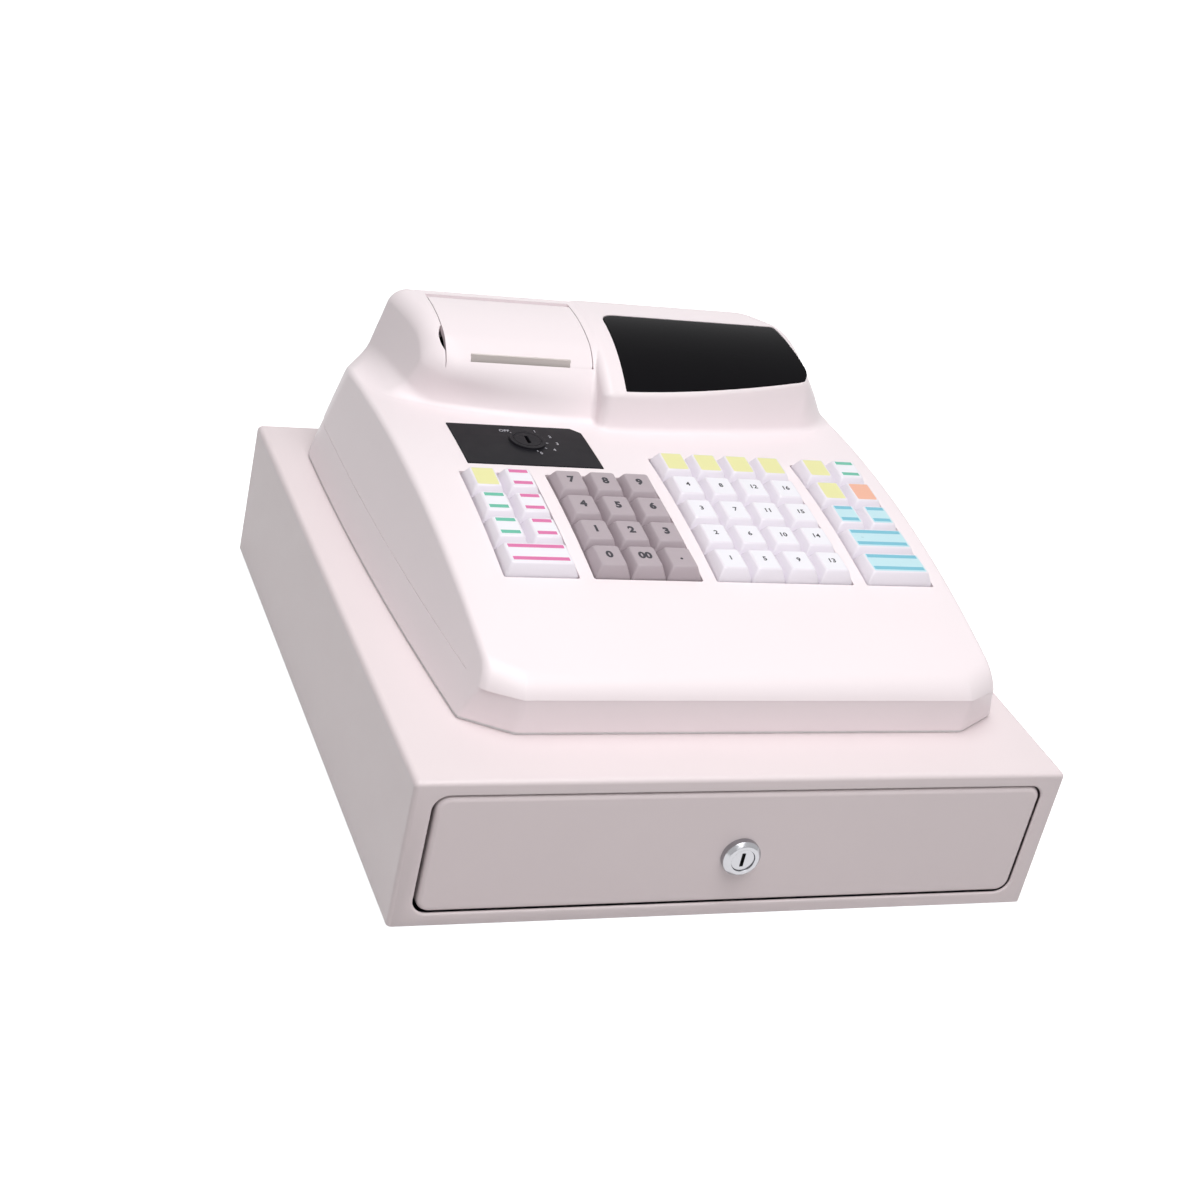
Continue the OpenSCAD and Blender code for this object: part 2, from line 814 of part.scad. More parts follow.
module latch_hook() {
    tip_w = 8;
    x0 = striker_x - tip_w / 2;
    x1 = latch_pin_x + latch_tail;
    color(zinc)
        placed()
            difference() {
                union() {
                    block([x0, latch_y, latch_pin_z - latch_bar_h / 2],
                          [x1, latch_y + latch_t, latch_pin_z + latch_bar_h / 2]);
                    block([x0, latch_y, latch_tip_z],
                          [x0 + tip_w, latch_y + latch_t, latch_pin_z]);
                }
                bar_y(latch_pin_x, latch_y - over, latch_y + latch_t + over, latch_pin_z,
                      latch_pin_r + run_fit);
            }
}

module latch_solenoid() {
    foot_z = case_z + sheet;
    x0 = latch_pin_x - 8;
    x1 = coil_x + coil_r + 6;
    coil_y = latch_y + latch_t / 2;
    color(copper)
        placed() {
            block([x0, box_y1 + 1, foot_z], [x1, latch_bracket_y + sheet, foot_z + sheet]);
            block([x0, latch_bracket_y, foot_z], [x1, latch_bracket_y + sheet, latch_pin_z + 8]);
            bar_y(latch_pin_x, latch_y - 2, latch_bracket_y + sheet / 2, latch_pin_z, latch_pin_r);
            translate([coil_x, coil_y, foot_z])
                cylinder(r = coil_r, h = coil_top - foot_z);
            translate([coil_x, coil_y, foot_z])
                cylinder(r = coil_r / 2, h = latch_pin_z - latch_bar_h / 2 - 0.4 - foot_z);
        }
}

// The spring's wire as rings of points along its coil
function spring_ring(i) =
    let (a = 360 * i / spring_steps)
    let (y = spring_y0 + (spring_y1 - spring_y0) * i / (spring_turns * spring_steps))
    [for (k = [0 : spring_sides - 1])
        let (b = 360 * k / spring_sides)
        let (r = spring_r + spring_wire_r * cos(b))
        [r * cos(a), y + spring_wire_r * sin(b), r * sin(a)]];

module ejector_spring() {
    rings = spring_turns * spring_steps;
    points = [for (i = [0 : rings]) each spring_ring(i)];
    sides = [for (i = [0 : rings - 1])
        for (k = [0 : spring_sides - 1])
            let (n = (k + 1) % spring_sides)
            [(i + 1) * spring_sides + k, (i + 1) * spring_sides + n,
             i * spring_sides + n, i * spring_sides + k]];
    first = [for (k = [0 : spring_sides - 1]) k];
    last = [for (k = [0 : spring_sides - 1]) (rings + 1) * spring_sides - 1 - k];
    color(zinc)
        placed() {
            translate([spring_x, 0, spring_z])
                polyhedron(points = points, faces = concat([first], sides, [last]));
            bar_y(spring_x, box_y1 + 8, case_d - sheet, spring_z, spring_r - spring_wire_r - 1);
        }
}

// Register body

// Both bowed and leaning sides of the body
module side_walls(inset, z0, z1) {
    wide = side_r - inset / cos(side_lean);
    intersection_for(s = [-1, 1])
        translate([body_x + s * (side_r - body_w / 2), side_y, z0])
            cylinder(r1 = wide - lean_slope * (z0 - body_base),
                     r2 = wide - lean_slope * (z1 - body_base),
                     h = z1 - z0, $fn = large_fn);
}

// What the facets take off the front corners, inset by a wall
module front_facets(inset, lean) {
    for (s = [-1, 1])
        translate([body_x + s * facet_x, body_front, seam_z])
            rotate([0, 0, s * facet_turn])
                rotate([lean, 0, 0])
                    translate([-120, inset - 100, -100])
                        cube([240, 100, 300]);
}

// What the facets take off the back corners, inset by a wall
module back_facets(inset) {
    for (s = [-1, 1])
        translate([body_x + s * (body_w / 2 - back_facet), body_back, body_base])
            rotate([0, 0, -s * 45])
                rotate([back_lean, 0, 0])
                    translate([-100, -inset, -100])
                        cube([200, 100, 400]);
}

// Side view of the lower housing
module lower_profile(inset, z0) {
    polygon([
        [base_front + inset, z0],
        [body_front + inset, seam_z + (z0 > body_base ? over : 0)],
        [seam_back - inset, seam_z + (z0 > body_base ? over : 0)],
        [base_back - inset, z0]
    ]);
}

module lower_block(inset, z0) {
    difference() {
        intersection() {
            side_walls(inset, body_base - over, seam_z + 2 * over);
            along_x(body_x - body_w, body_x + body_w)
                lower_profile(inset, z0);
        }
        front_facets(inset, facet_lean);
        back_facets(inset);
    }
}

module lower_housing() {
    floor_z = body_base + wall;
    color(body_white)
        placed()
            difference() {
                union() {
                    difference() {
                        lower_block(0, body_base);
                        lower_block(wall, floor_z);
                    }
                    block([body_x - body_w / 2 + 24, base_front + 14, case_top],
                          [body_x + body_w / 2 - 24, base_back - 12, body_base + wall / 2]);
                    for (p = SCREW_SPOTS)
                        translate([body_x + p[0], p[1], body_base + wall / 2])
                            cylinder(r = screw_post_r, h = seam_z + 4 - body_base - wall / 2);
                    for (x = [board_x0 + 6, board_x0 + board_w - 6])
                        for (y = [board_y0 + 6, board_y0 + board_d - 6])
                            translate([x, y, body_base + wall / 2])
                                cylinder(r = 3, h = wall / 2 + board_standoff);
                }
                for (p = SCREW_SPOTS)
                    translate([body_x + p[0], p[1], 0]) {
                        translate([0, 0, case_top - over])
                            cylinder(r = screw_r + hole_fit, h = 60);
                        translate([0, 0, case_top - over])
                            cylinder(r = screw_head_r + hole_fit, h = over + plinth_h + screw_head_h);
                    }
            }
}

// Side view of the deck and nose, inset by a wall
module body_profile(inset, z0) {
    difference() {
        intersection() {
            translate([deck_peak_y, deck_cz])
                circle(r = deck_r - inset, $fn = large_fn);
            translate([body_front + inset, z0])
                square([body_back - body_front - 2 * inset, 200]);
        }
        polygon([
            [base_back - inset, body_base],
            [base_back - inset + 2 * base_in_back, body_base + 2 * back_rise],
            [base_back + 4 * base_in_back, body_base]
        ]);
        difference() {
            polygon([
                [nose_y, nose_z],
                [body_front - 5, nose_z],
                [body_front - 5, nose_z + 60],
                [nose_y + 60 * nose_dir[0], nose_z + 60 * nose_dir[1]]
            ]);
            translate([nose_y, nose_z])
                circle(r = nose_r - inset);
        }
    }
}

module deck_block(inset, z0) {
    difference() {
        intersection() {
            side_walls(inset, z0, housing_top);
            along_x(body_x - body_w, body_x + body_w)
                body_profile(inset, z0);
        }
        front_facets(inset, 0);
        back_facets(inset);
    }
}

// Side view of the hood: a lip, an arched top and a rounded back edge
module hood_profile(inset, front, lean, r) {
    y0 = front + inset;
    z0 = hood_root_z;
    z1 = case_top + hood_top + over;
    edge_y = body_back - hood_edge_r;
    edge_z = hood_cz + r - hood_edge_r;
    difference() {
        intersection() {
            union() {
                translate([hood_cy, hood_cz])
                    circle(r = r - inset, $fn = 360);
                translate([hood_cy, z0])
                    square([body_back - hood_cy + over, hood_cz + r - inset - z0]);
            }
            polygon([
                [y0 + tan(lean) * (z0 - hood_foot_z), z0],
                [y0 + tan(lean) * (z1 - hood_foot_z), z1],
                [body_back - inset, z1],
                [body_back - inset, z0]
            ]);
        }
        difference() {
            translate([edge_y, edge_z])
                square([hood_edge_r + over, hood_edge_r + over]);
            translate([edge_y, edge_z])
                circle(r = hood_edge_r - inset);
        }
    }
}

// What the round edge takes off the printer's lip, seen from the side
module lip_edge(inset) {
    y = hood_front + hood_setback + lip_edge_r;
    z = hood_cz + sqrt(pow(lid_r - lip_edge_r, 2) - pow(y - hood_cy, 2));
    dir = [y - hood_cy, z - hood_cz] / (lid_r - lip_edge_r);
    difference() {
        polygon([[y, z], [y - 40, z], [y - 40, z + 40], [y + 40 * dir[0], z + 40 * dir[1]]]);
        translate([y, z])
            circle(r = lip_edge_r - inset);
    }
}

// The hood's sides, which flare to the back and lean in to the top
module hood_sides(inset) {
    translate([body_x - hood_half_w, hood_side_y, hood_foot_z])
        rotate([0, hood_lean, hood_flare])
            translate([inset - 100, -150, -100])
                cube([100, 300, 200]);
    translate([body_x + hood_right_w, hood_side_y, hood_foot_z])
        rotate([0, -hood_right_lean, -hood_right_flare])
            translate([-inset, -150, -100])
                cube([100, 300, 200]);
    back_facets(inset);
}

// A hood front that bows about bow_x, seen from above
module hood_bow(inset, front, bow_x, bow_r) {
    translate([bow_x, front + bow_r, hood_root_z - over])
        cylinder(r = bow_r - inset, h = 150, $fn = large_fn);
}

module display_side(inset, x0) {
    intersection() {
        along_x(x0, body_x + body_w / 2)
            hood_profile(inset, hood_front, lip_lean, hood_r);
        hood_bow(inset, hood_front, display_bow_x, hood_bow_r);
    }
}

module printer_side(inset, x1) {
    front = hood_front + hood_setback;
    intersection() {
        along_x(body_x - body_w / 2, x1)
            difference() {
                hood_profile(inset, front, 0, lid_r);
                lip_edge(inset);
            }
        hood_bow(inset, front, printer_bow_x, printer_bow_r);
    }
}

module hood_block(inset) {
    difference() {
        union() {
            display_side(inset, split_x + (inset > 0 ? wall : 0));
            printer_side(inset, split_x + (inset > 0 ? wall + over : over));
        }
        hood_sides(inset);
    }
}

// Plan of the display window, grown by a gap
module window_plan(grow) {
    intersection() {
        translate([window_x0 - grow, hood_front])
            square([window_w + 2 * grow, window_back + grow - hood_front]);
        translate([display_bow_x, hood_front + window_margin + hood_bow_r])
            circle(r = hood_bow_r + grow, $fn = large_fn);
    }
}

// A layer that follows the hood's top between two depths, above a plan
module hood_layer(top, bottom) {
    intersection() {
        along_x(body_x - body_w, body_x + body_w)
            difference() {
                translate([hood_cy, hood_cz])
                    circle(r = hood_r + top, $fn = 360);
                translate([hood_cy, hood_cz])
                    circle(r = hood_r - bottom, $fn = 360);
            }
        translate([0, 0, hood_foot_z])
            linear_extrude(height = 100)
                children();
    }
}

// The keyboard's own frame: Z along the keys' travel, Y up the slope
module on_keyboard() {
    translate([0, keys_y0, deck_z(keys_y0)])
        rotate([key_tilt, 0, 0])
            children();
}

// Posts under the deck that carry the key frame
module key_posts() {
    for (x = [left_x + 2 * key_pitch_x, numeric_x + 3 * key_pitch_x, department_x + 4 * key_pitch_x])
        for (y = [4, 4 * key_pitch_y - 4])
            translate([x + block_gap / 2, y, guide_z + guide_t])
                cylinder(r = post_r, h = -guide_z - guide_t - 0.6);
}

module upper_housing() {
    color(body_white)
        placed()
            difference() {
                union() {
                    difference() {
                        union() {
                            deck_block(0, seam_z);
                            hood_block(0);
                        }
                        deck_block(wall, seam_z - over);
                        hood_block(hood_wall);
                    }
                    on_keyboard()
                        key_posts();
                    for (p = SCREW_SPOTS)
                        translate([body_x + p[0], p[1], seam_z + 4])
                            cylinder(r = screw_post_r, h = deck_z(p[1]) - wall / 2 - seam_z - 4);
                    mode_boss();
                    display_posts();
                    for (x = [lid_x0 - lid_gap - 6, lid_x1 + lid_gap])
                        bar_x(x, x + 6, lid_hinge_y, lid_hinge_z, lid_barrel_r);
                }
                seam_cut();
                for (b = BLOCKS)
                    on_keyboard()
                        block([b[0] - 0.6, -0.6, -wall - 2 * over],
                              [b[0] + b[1] * key_pitch_x + 0.6, b[2] * key_pitch_y + 0.6, 4]);
                for (p = SCREW_SPOTS)
                    translate([body_x + p[0], p[1], seam_z])
                        cylinder(r = screw_r + hole_fit, h = 10);
                mode_cuts();
                window_cuts();
                lid_cuts();
                rear_display_shape(0.2);
                power_inlet_shape(0.2);
            }
}

// A shallow groove round the foot of the upper housing
module seam_cut() {
    difference() {
        translate([body_x - body_w, -over, seam_z - over])
            cube([2 * body_w, body_back + 50, over + seam_groove]);
        deck_block(seam_groove, seam_z - 2 * over);
    }
}

module on_mode() {
    translate([mode_x, mode_y, deck_z(mode_y)])
        rotate([mode_tilt, 0, 0])
            children();
}

module mode_boss() {
    on_mode()
        translate([0, 0, -mode_boss_h])
            cylinder(r = mode_core_r + 3, h = mode_boss_h - wall / 2);
}

module mode_cuts() {
    on_mode()
        translate([0, 0, -20])
            cylinder(r = mode_core_r + run_fit, h = 40);
    plate_shape(inset_gap, plate_t - plate_proud + 0.01);
}

// The mode plate's shape, which follows the arched deck
module plate_shape(grow, deep) {
    corner = 5;
    intersection() {
        along_x(plate_x0 - over - grow, plate_x0 + plate_w + over + grow)
            difference() {
                translate([deck_peak_y, deck_cz])
                    circle(r = deck_r + plate_proud, $fn = large_fn);
                translate([deck_peak_y, deck_cz])
                    circle(r = deck_r - deep, $fn = large_fn);
            }
        translate([0, 0, seam_z])
            linear_extrude(height = 100)
                polygon([
                    [plate_x0 - grow, plate_y0 - grow],
                    [plate_x0 + plate_w + grow, plate_y0 - grow],
                    [plate_x0 + plate_w + grow, plate_y0 + plate_d - corner],
                    [plate_x0 + plate_w - corner, plate_y0 + plate_d + grow],
                    [plate_x0 - grow, plate_y0 + plate_d + grow]
                ]);
    }
}

module on_display() {
    translate([window_x0 + window_w / 2, display_y, hood_z(display_y, hood_r)])
        rotate([display_tilt, 0, 0])
            children();
}

module display_posts() {
    on_display()
        for (x = [-1, 1])
            for (y = [-1, 1])
                translate([x * display_post_x, y * display_post_y, -display_depth])
                    cylinder(r = post_r, h = display_depth - hood_wall / 2);
}

module window_cuts() {
    hood_layer(over, window_t)
        window_plan(inset_gap);
    hood_layer(over, 12)
        intersection() {
            window_plan(-window_ledge);
            translate([window_x0, 0])
                square([window_w, window_back - window_ledge]);
        }
}

module lid_cuts() {
    x0 = lid_x0 - lid_gap;
    x1 = lid_x1 + lid_gap;
    block([x0, lid_front - lid_gap, roll_z + 5], [x1, lid_hinge_y, housing_top]);
    block([x0, lid_hinge_y - over, lid_hinge_z],
          [x1, lid_hinge_y + lid_barrel_r + 2 * lid_gap, housing_top]);
    bar_x(x0, x1, lid_hinge_y, lid_hinge_z, lid_barrel_r + lid_gap);
    bar_x(x0 - lid_pin_len - lid_gap, x1 + lid_pin_len + lid_gap, lid_hinge_y, lid_hinge_z,
          lid_pin_r + run_fit);
    translate([lid_x0 + notch_r - notch_w, lid_front + notch_r, lid_hinge_z - 12])
        cylinder(r = notch_r, h = 40);
}

module printer_cover() {
    skirt = 5;
    color(body_white)
        placed()
            difference() {
                union() {
                    intersection() {
                        along_x(lid_x0, lid_x1)
                            difference() {
                                translate([hood_cy, hood_cz])
                                    circle(r = lid_r, $fn = 360);
                                translate([hood_cy, hood_cz])
                                    circle(r = lid_r - wall, $fn = 360);
                            }
                        block([lid_x0, lid_front, hood_cz], [lid_x1, lid_hinge_y, housing_top]);
                    }
                    bar_x(lid_x0, lid_x1, lid_hinge_y, lid_hinge_z, lid_barrel_r);
                    bar_x(lid_x0 - lid_pin_len, lid_x1 + lid_pin_len, lid_hinge_y, lid_hinge_z, lid_pin_r);
                    for (x = [lid_x0, lid_x1 - 2])
                        intersection() {
                            along_x(x, x + 2)
                                difference() {
                                    translate([hood_cy, hood_cz])
                                        circle(r = lid_r - wall / 2, $fn = 360);
                                    translate([hood_cy, hood_cz])
                                        circle(r = lid_r - wall - skirt, $fn = 360);
                                }
                            block([x, lid_front + 2, hood_cz], [x + 2, lid_hinge_y, housing_top]);
                        }
                }
                block([lid_mid_x - slit_w / 2, lid_front - over, hood_cz],
                      [lid_mid_x + slit_w / 2, lid_front + slit_d, housing_top]);
            }
}

module display_window() {
    color(smoke)
        placed()
            hood_layer(0, window_t - 0.01)
                window_plan(0);
}

module display_board() {
    color(board_green)
        placed()
            on_display() {
                translate([-display_post_x - 3, -display_post_y - 3, -display_depth - board_t])
                    cube([2 * display_post_x + 6, 2 * display_post_y + 6, board_t]);
                translate([-40, -11, -display_depth - board_t / 2])
                    cube([80, 22, 7 + board_t / 2]);
            }
}

// The display in the back of the hood, grown by a gap
module rear_display_shape(grow) {
    x0 = rear_display_x0 - grow;
    x1 = rear_display_x0 + rear_display_w + grow;
    z0 = rear_display_z - rear_display_h / 2 - grow;
    z1 = rear_display_z + rear_display_h / 2 + grow;
    block([x0, body_back - hood_wall - 2, z0], [x1, body_back + (grow > 0 ? over : 0), z1]);
}

module customer_display() {
    color(smoke)
        placed() {
            rear_display_shape(0);
            block([rear_display_x0 + 4, body_back - hood_wall - 10, rear_display_z - rear_display_h / 2 + 2],
                  [rear_display_x0 + rear_display_w - 4, body_back - hood_wall - 1,
                   rear_display_z + rear_display_h / 2 - 2]);
        }
}

module mode_plate() {
    ring_h = 1.2;
    color(black_plastic)
        placed()
            difference() {
                union() {
                    plate_shape(0, plate_t - plate_proud);
                    on_mode()
                        cylinder(r = mode_ring_r, h = plate_proud + ring_h);
                }
                on_mode()
                    translate([0, 0, -20])
                        cylinder(r = mode_core_r + run_fit, h = 40);
            }
}

module mode_cylinder() {
    slot_w = 1.8;
    slot_l = 8;
    proud = 1.2;
    top = plate_proud + proud;
    color(zinc)
        placed()
            on_mode()
                difference() {
                    translate([0, 0, -mode_core_h])
                        cylinder(r = mode_core_r, h = mode_core_h + top);
                    translate([-slot_w / 2, -slot_l / 2, top - 6])
                        cube([slot_w, slot_l, 6 + over]);
                }
}

module housing_screws() {
    color(zinc)
        placed()
            for (p = SCREW_SPOTS)
                translate([body_x + p[0], p[1], case_top + plinth_h]) {
                    cylinder(r = screw_head_r, h = screw_head_h);
                    cylinder(r = screw_r, h = screw_len);
                }
}

// Ticket printer

module printer_frame() {
    leg_r = 4;
    floor_y0 = platen_y - platen_wall;
    floor_y1 = roll_y + paper_r;
    leg_y = base_back - 14;
    wall_z = body_base + wall;
    color(black_plastic)
        placed()
            difference() {
                union() {
                    block([frame_x0, floor_y0, frame_floor_z],
                          [frame_x1, floor_y1, frame_floor_z + frame_plate_t]);
                    for (x = [frame_x0, frame_x1 - frame_plate_t])
                        block([x, floor_y0, frame_floor_z], [x + frame_plate_t, floor_y1, platen_z + 5]);
                    block([frame_x0, floor_y0, frame_floor_z],
                          [frame_x1, roll_y - paper_r - 2 * soft_gap, roll_z]);
                    intersection() {
                        along_x(frame_x0, frame_x1)
                            difference() {
                                translate([roll_y, roll_z])
                                    circle(r = paper_r + soft_gap + 1.5);
                                translate([roll_y, roll_z])
                                    circle(r = paper_r + soft_gap);
                            }
                        block([frame_x0, roll_y - 14, frame_floor_z], [frame_x1, roll_y + 14, roll_z - 8]);
                    }
                    block([frame_x0, roll_y - 5, frame_floor_z],
                          [frame_x1, roll_y + 5, roll_z - paper_r - soft_gap - 0.8]);
                    for (x = [frame_x0 + leg_r, frame_x1 - leg_r])
                        for (y = [floor_y0 + leg_r, leg_y])
                            translate([x, y, wall_z])
                                cylinder(r = leg_r, h = frame_floor_z - wall_z + 1);
                }
                bar_x(frame_x0 - over, frame_x1 + over, platen_y, platen_z, platen_shaft_r + run_fit);
            }
}

module platen_roller() {
    color(dark_rubber)
        placed() {
            bar_x(frame_x0 + frame_plate_t + 1, frame_x1 - frame_plate_t - 1, platen_y, platen_z, platen_r);
            bar_x(frame_x0 - 1, frame_x1 + 1, platen_y, platen_z, platen_shaft_r);
        }
}

module paper_roll() {
    color(paper_white)
        placed()
            difference() {
                bar_x(lid_mid_x - roll_w / 2, lid_mid_x + roll_w / 2, roll_y, roll_z, paper_r);
                bar_x(lid_mid_x - roll_w, lid_mid_x + roll_w, roll_y, roll_z, paper_core_r);
            }
}

// Electronics

module main_board() {
    z = body_base + wall + board_standoff;
    color(board_green)
        placed() {
            block([board_x0, board_y0, z], [board_x0 + board_w, board_y0 + board_d, z + board_t]);
            block([board_x0 + 20, board_y0 + 30, z + board_t / 2],
                  [board_x0 + 48, board_y0 + 58, z + board_t + 3]);
            block([board_x0 + 70, board_y0 + 12, z + board_t / 2],
                  [board_x0 + 110, board_y0 + 20, z + board_t + 8]);
            block([board_x0 + 70, board_y0 + 70, z + board_t / 2],
                  [board_x0 + 96, board_y0 + 78, z + board_t + 6]);
        }
}

module power_transformer() {
    x = body_x + 84;
    y = base_back - 34;
    z = body_base + wall;
    w = transformer_w / 2;
    d = transformer_d / 2;
    leg = transformer_leg;
    color(copper)
        placed() {
            block([x - w, y - d, z], [x + w, y + d, z + transformer_h]);
            block([x - w + leg, y - d - coil_out, z + leg],
                  [x + w - leg, y + d + coil_out, z + transformer_h - leg]);
            block([x - w - foot_out, y - d, z], [x + w + foot_out, y + d, z + 2 * sheet]);
        }
}

// The appliance inlet's outline, grown by a gap
module power_inlet_shape(grow) {
    x = inlet_x;
    z = inlet_z;
    block([x - 12 - grow, body_back - inlet_d - grow, z - 6 - grow],
          [x + 12 + grow, body_back + (grow > 0 ? over : 0), z + 6 + grow]);
}

module power_inlet() {
    x = inlet_x;
    z = inlet_z;
    color(black_plastic)
        placed() {
            difference() {
                power_inlet_shape(0);
                along_y(body_back - inlet_d + 3, body_back + over)
                    translate([x, z])
                        union() {
                            square([8, 7.6], center = true);
                            for (s = [-1, 1])
                                translate([s * 4, 0])
                                    circle(r = 3.8);
                        }
            }
            for (s = [-1, 1])
                bar_y(x + s * 4, body_back - inlet_d + 2, body_back - 3, z, 1.2);
        }
}

// Keyboard

module key_frame() {
    color(black_plastic)
        placed()
            on_keyboard()
                difference() {
                    union() {
                        block([left_x - guide_margin, -guide_margin, guide_z],
                              [keyboard_x1 + guide_margin, keyboard_d + guide_margin, guide_z + guide_t]);
                        for (x = [left_x, department_x - block_gap / 2, keyboard_x1])
                            for (y = [0, keyboard_d])
                                translate([x, y, board_z + board_t])
                                    cylinder(r = 2, h = guide_z - board_z - board_t + guide_t / 2);
                    }
                    for (b = BLOCKS)
                        for (i = [0 : b[1] - 1])
                            for (j = [0 : b[2] - 1])
                                stem_hole(b[0] + (i + 0.5) * key_pitch_x, (j + 0.5) * key_pitch_y);
                }
}

module stem_hole(x, y) {
    w = key_stem + 2 * stem_gap;
    translate([x - w / 2, y - w / 2, guide_z - over])
        cube([w, w, guide_t + 2 * over]);
}

module key_board() {
    color(board_green)
        placed()
            on_keyboard()
                block([left_x - guide_margin, -guide_margin, board_z],
                      [keyboard_x1 + guide_margin, keyboard_d + guide_margin, board_z + board_t]);
}

// A key cap of cols by rows pitches with its stems, at column i and row j of a block
module key(block_x, i, j, cols = 1) {
    w = cols * key_pitch_x - key_gap;
    d = key_pitch_y - key_gap;
    top = key_h - cap_foot;
    placed()
        on_keyboard()
            translate([block_x + i * key_pitch_x + key_gap / 2, j * key_pitch_y + key_gap / 2, cap_foot]) {
                hull() {
                    cube([w, d, key_skirt]);
                    translate([key_taper, key_taper, top - 0.5])
                        cube([w - 2 * key_taper, d - 2 * key_taper, 0.5]);
                }
                for (k = [0 : cols - 1])
                    translate([(k + 0.5) * key_pitch_x - key_gap / 2 - key_stem / 2,
                               (key_pitch_y - key_stem - key_gap) / 2, stem_foot - cap_foot])
                        cube([key_stem, key_stem, -stem_foot + cap_foot + over]);
            }
}

// Keys of one colour in one column, from row first to row last
module key_column(block_x, i, first, last) {
    for (j = [first : last])
        key(block_x, i, j);
}

module numeric_key(i, j) {
    color(key_grey)
        key(numeric_x, i, j);
}

drawer_case();
base_plate();
rubber_feet();
case_rails();
case_screws();
latch_solenoid();
ejector_spring();
drawer_box();
drawer_rails();
drawer_front();
cash_tray();
clip_shaft();
bill_clip(0);  // bill_clip_1
bill_clip(1);  // bill_clip_2
bill_clip(2);  // bill_clip_3
bill_clip(3);  // bill_clip_4
lock_barrel();
lock_cylinder();
lock_cam();
latch_hook();
lower_housing();
upper_housing();
housing_screws();
printer_cover();
printer_frame();
platen_roller();
paper_roll();
display_window();
display_board();
customer_display();
mode_plate();
mode_cylinder();
key_frame();
key_board();
main_board();
power_transformer();
power_inlet();
numeric_key(0, 0);  // key_0
numeric_key(1, 0);  // key_00
numeric_key(2, 0);  // key_point
numeric_key(0, 1);  // key_1
numeric_key(1, 1);  // key_2
numeric_key(2, 1);  // key_3
numeric_key(0, 2);  // key_4
numeric_key(1, 2);  // key_5
numeric_key(2, 2);  // key_6
numeric_key(0, 3);  // key_7
numeric_key(1, 3);  // key_8
numeric_key(2, 3);  // key_9
color(key_white) key_column(left_x, 0, 1, 3);  // left_keys_1
color(key_white) key_column(left_x, 1, 1, 3);  // left_keys_2
color(key_white) key(left_x, 0, 0, 2);  // left_wide_key
color(key_white) key_column(department_x, 0, 0, 4);  // department_keys_1
color(key_white) key_column(department_x, 1, 0, 4);  // department_keys_2
color(key_white) key_column(department_x, 2, 0, 4);  // department_keys_3
color(key_white) key_column(department_x, 3, 0, 4);  // department_keys_4
color(key_white) key_column(right_x, 0, 2, 4);  // right_keys_1
color(key_white) key_column(right_x, 1, 2, 4);  // right_keys_2
color(key_white) key(right_x, 0, 1, 2);  // right_wide_key_1
color(key_white) key(right_x, 0, 0, 2);  // right_wide_key_2
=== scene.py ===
"""Electronic cash register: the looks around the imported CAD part.

Lengths are in millimetres and angles in degrees, unless a comment says otherwise. As in the CAD,
x runs right from the drawer's middle, y back from the case's front and z up from the floor.
"""

import json
import math

import bmesh
import bpy
import numpy as np
from mathutils import Matrix, Vector


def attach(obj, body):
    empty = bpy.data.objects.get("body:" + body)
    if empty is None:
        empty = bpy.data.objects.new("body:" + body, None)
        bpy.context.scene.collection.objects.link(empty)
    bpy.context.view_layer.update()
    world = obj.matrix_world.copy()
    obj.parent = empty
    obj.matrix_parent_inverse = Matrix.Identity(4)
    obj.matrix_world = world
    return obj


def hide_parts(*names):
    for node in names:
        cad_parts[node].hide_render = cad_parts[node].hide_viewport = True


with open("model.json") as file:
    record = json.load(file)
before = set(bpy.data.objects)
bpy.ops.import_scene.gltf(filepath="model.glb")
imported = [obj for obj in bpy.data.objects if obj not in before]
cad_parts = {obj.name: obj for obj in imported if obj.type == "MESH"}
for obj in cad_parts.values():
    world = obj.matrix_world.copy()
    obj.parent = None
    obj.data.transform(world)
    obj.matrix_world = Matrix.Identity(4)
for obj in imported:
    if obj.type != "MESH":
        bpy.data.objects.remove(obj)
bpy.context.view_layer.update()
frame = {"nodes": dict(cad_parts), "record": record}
NODES = frame["nodes"]

FRONT_Y = -174.3  # the case's front in the shared frame
CASE_TOP = 84.0

# The body's plan: BODY_X is its middle, and its sides are wide arcs that lean in towards the top
BODY_X, BODY_W, BODY_FRONT, BODY_BACK = 7.5, 310.0, 33.5, 338.0
SIDE_R, SIDE_Y, SIDE_SLOPE = 2300.0, 284.5, 0.3
FACET_X, FACET_TURN, FACET_LEAN, FACET_R = 118.7, 31.0, 0.04, 1.2
BACK_FACET, BACK_TURN, BACK_FACET_R = 12.0, 45.0, 9.0

# The body's heights, and how far its foot stands in from its widest line
BODY_BASE, SEAM_Z = 85.5, 104.0
BASE_IN_FRONT, BASE_IN_BACK, BACK_RISE, BACK_BEND_R = 2.8, 20.0, 27.0, 14.0
DECK_R, DECK_Y, DECK_Z = 750.0, 245.0, -609.4
WALL, HOOD_WALL, INNER_FILLET = 2.5, 3.6, 4.0
NOSE_R, NOSE_TUCK = 12.5, 1.85  # the tuck sets the lower front back to the nose's foot
UPPER_BACK_R, UPPER_SIDE_R, LOWER_BACK_R, LOWER_SIDE_R = 7.0, 2.6, 1.0, 1.2
SEAM_GROOVE_Y, SEAM_GROOVE_H, SEAM_GROOVE_D, SEAM_GROOVE_LAP = 62, 0.35, 0.3, 1

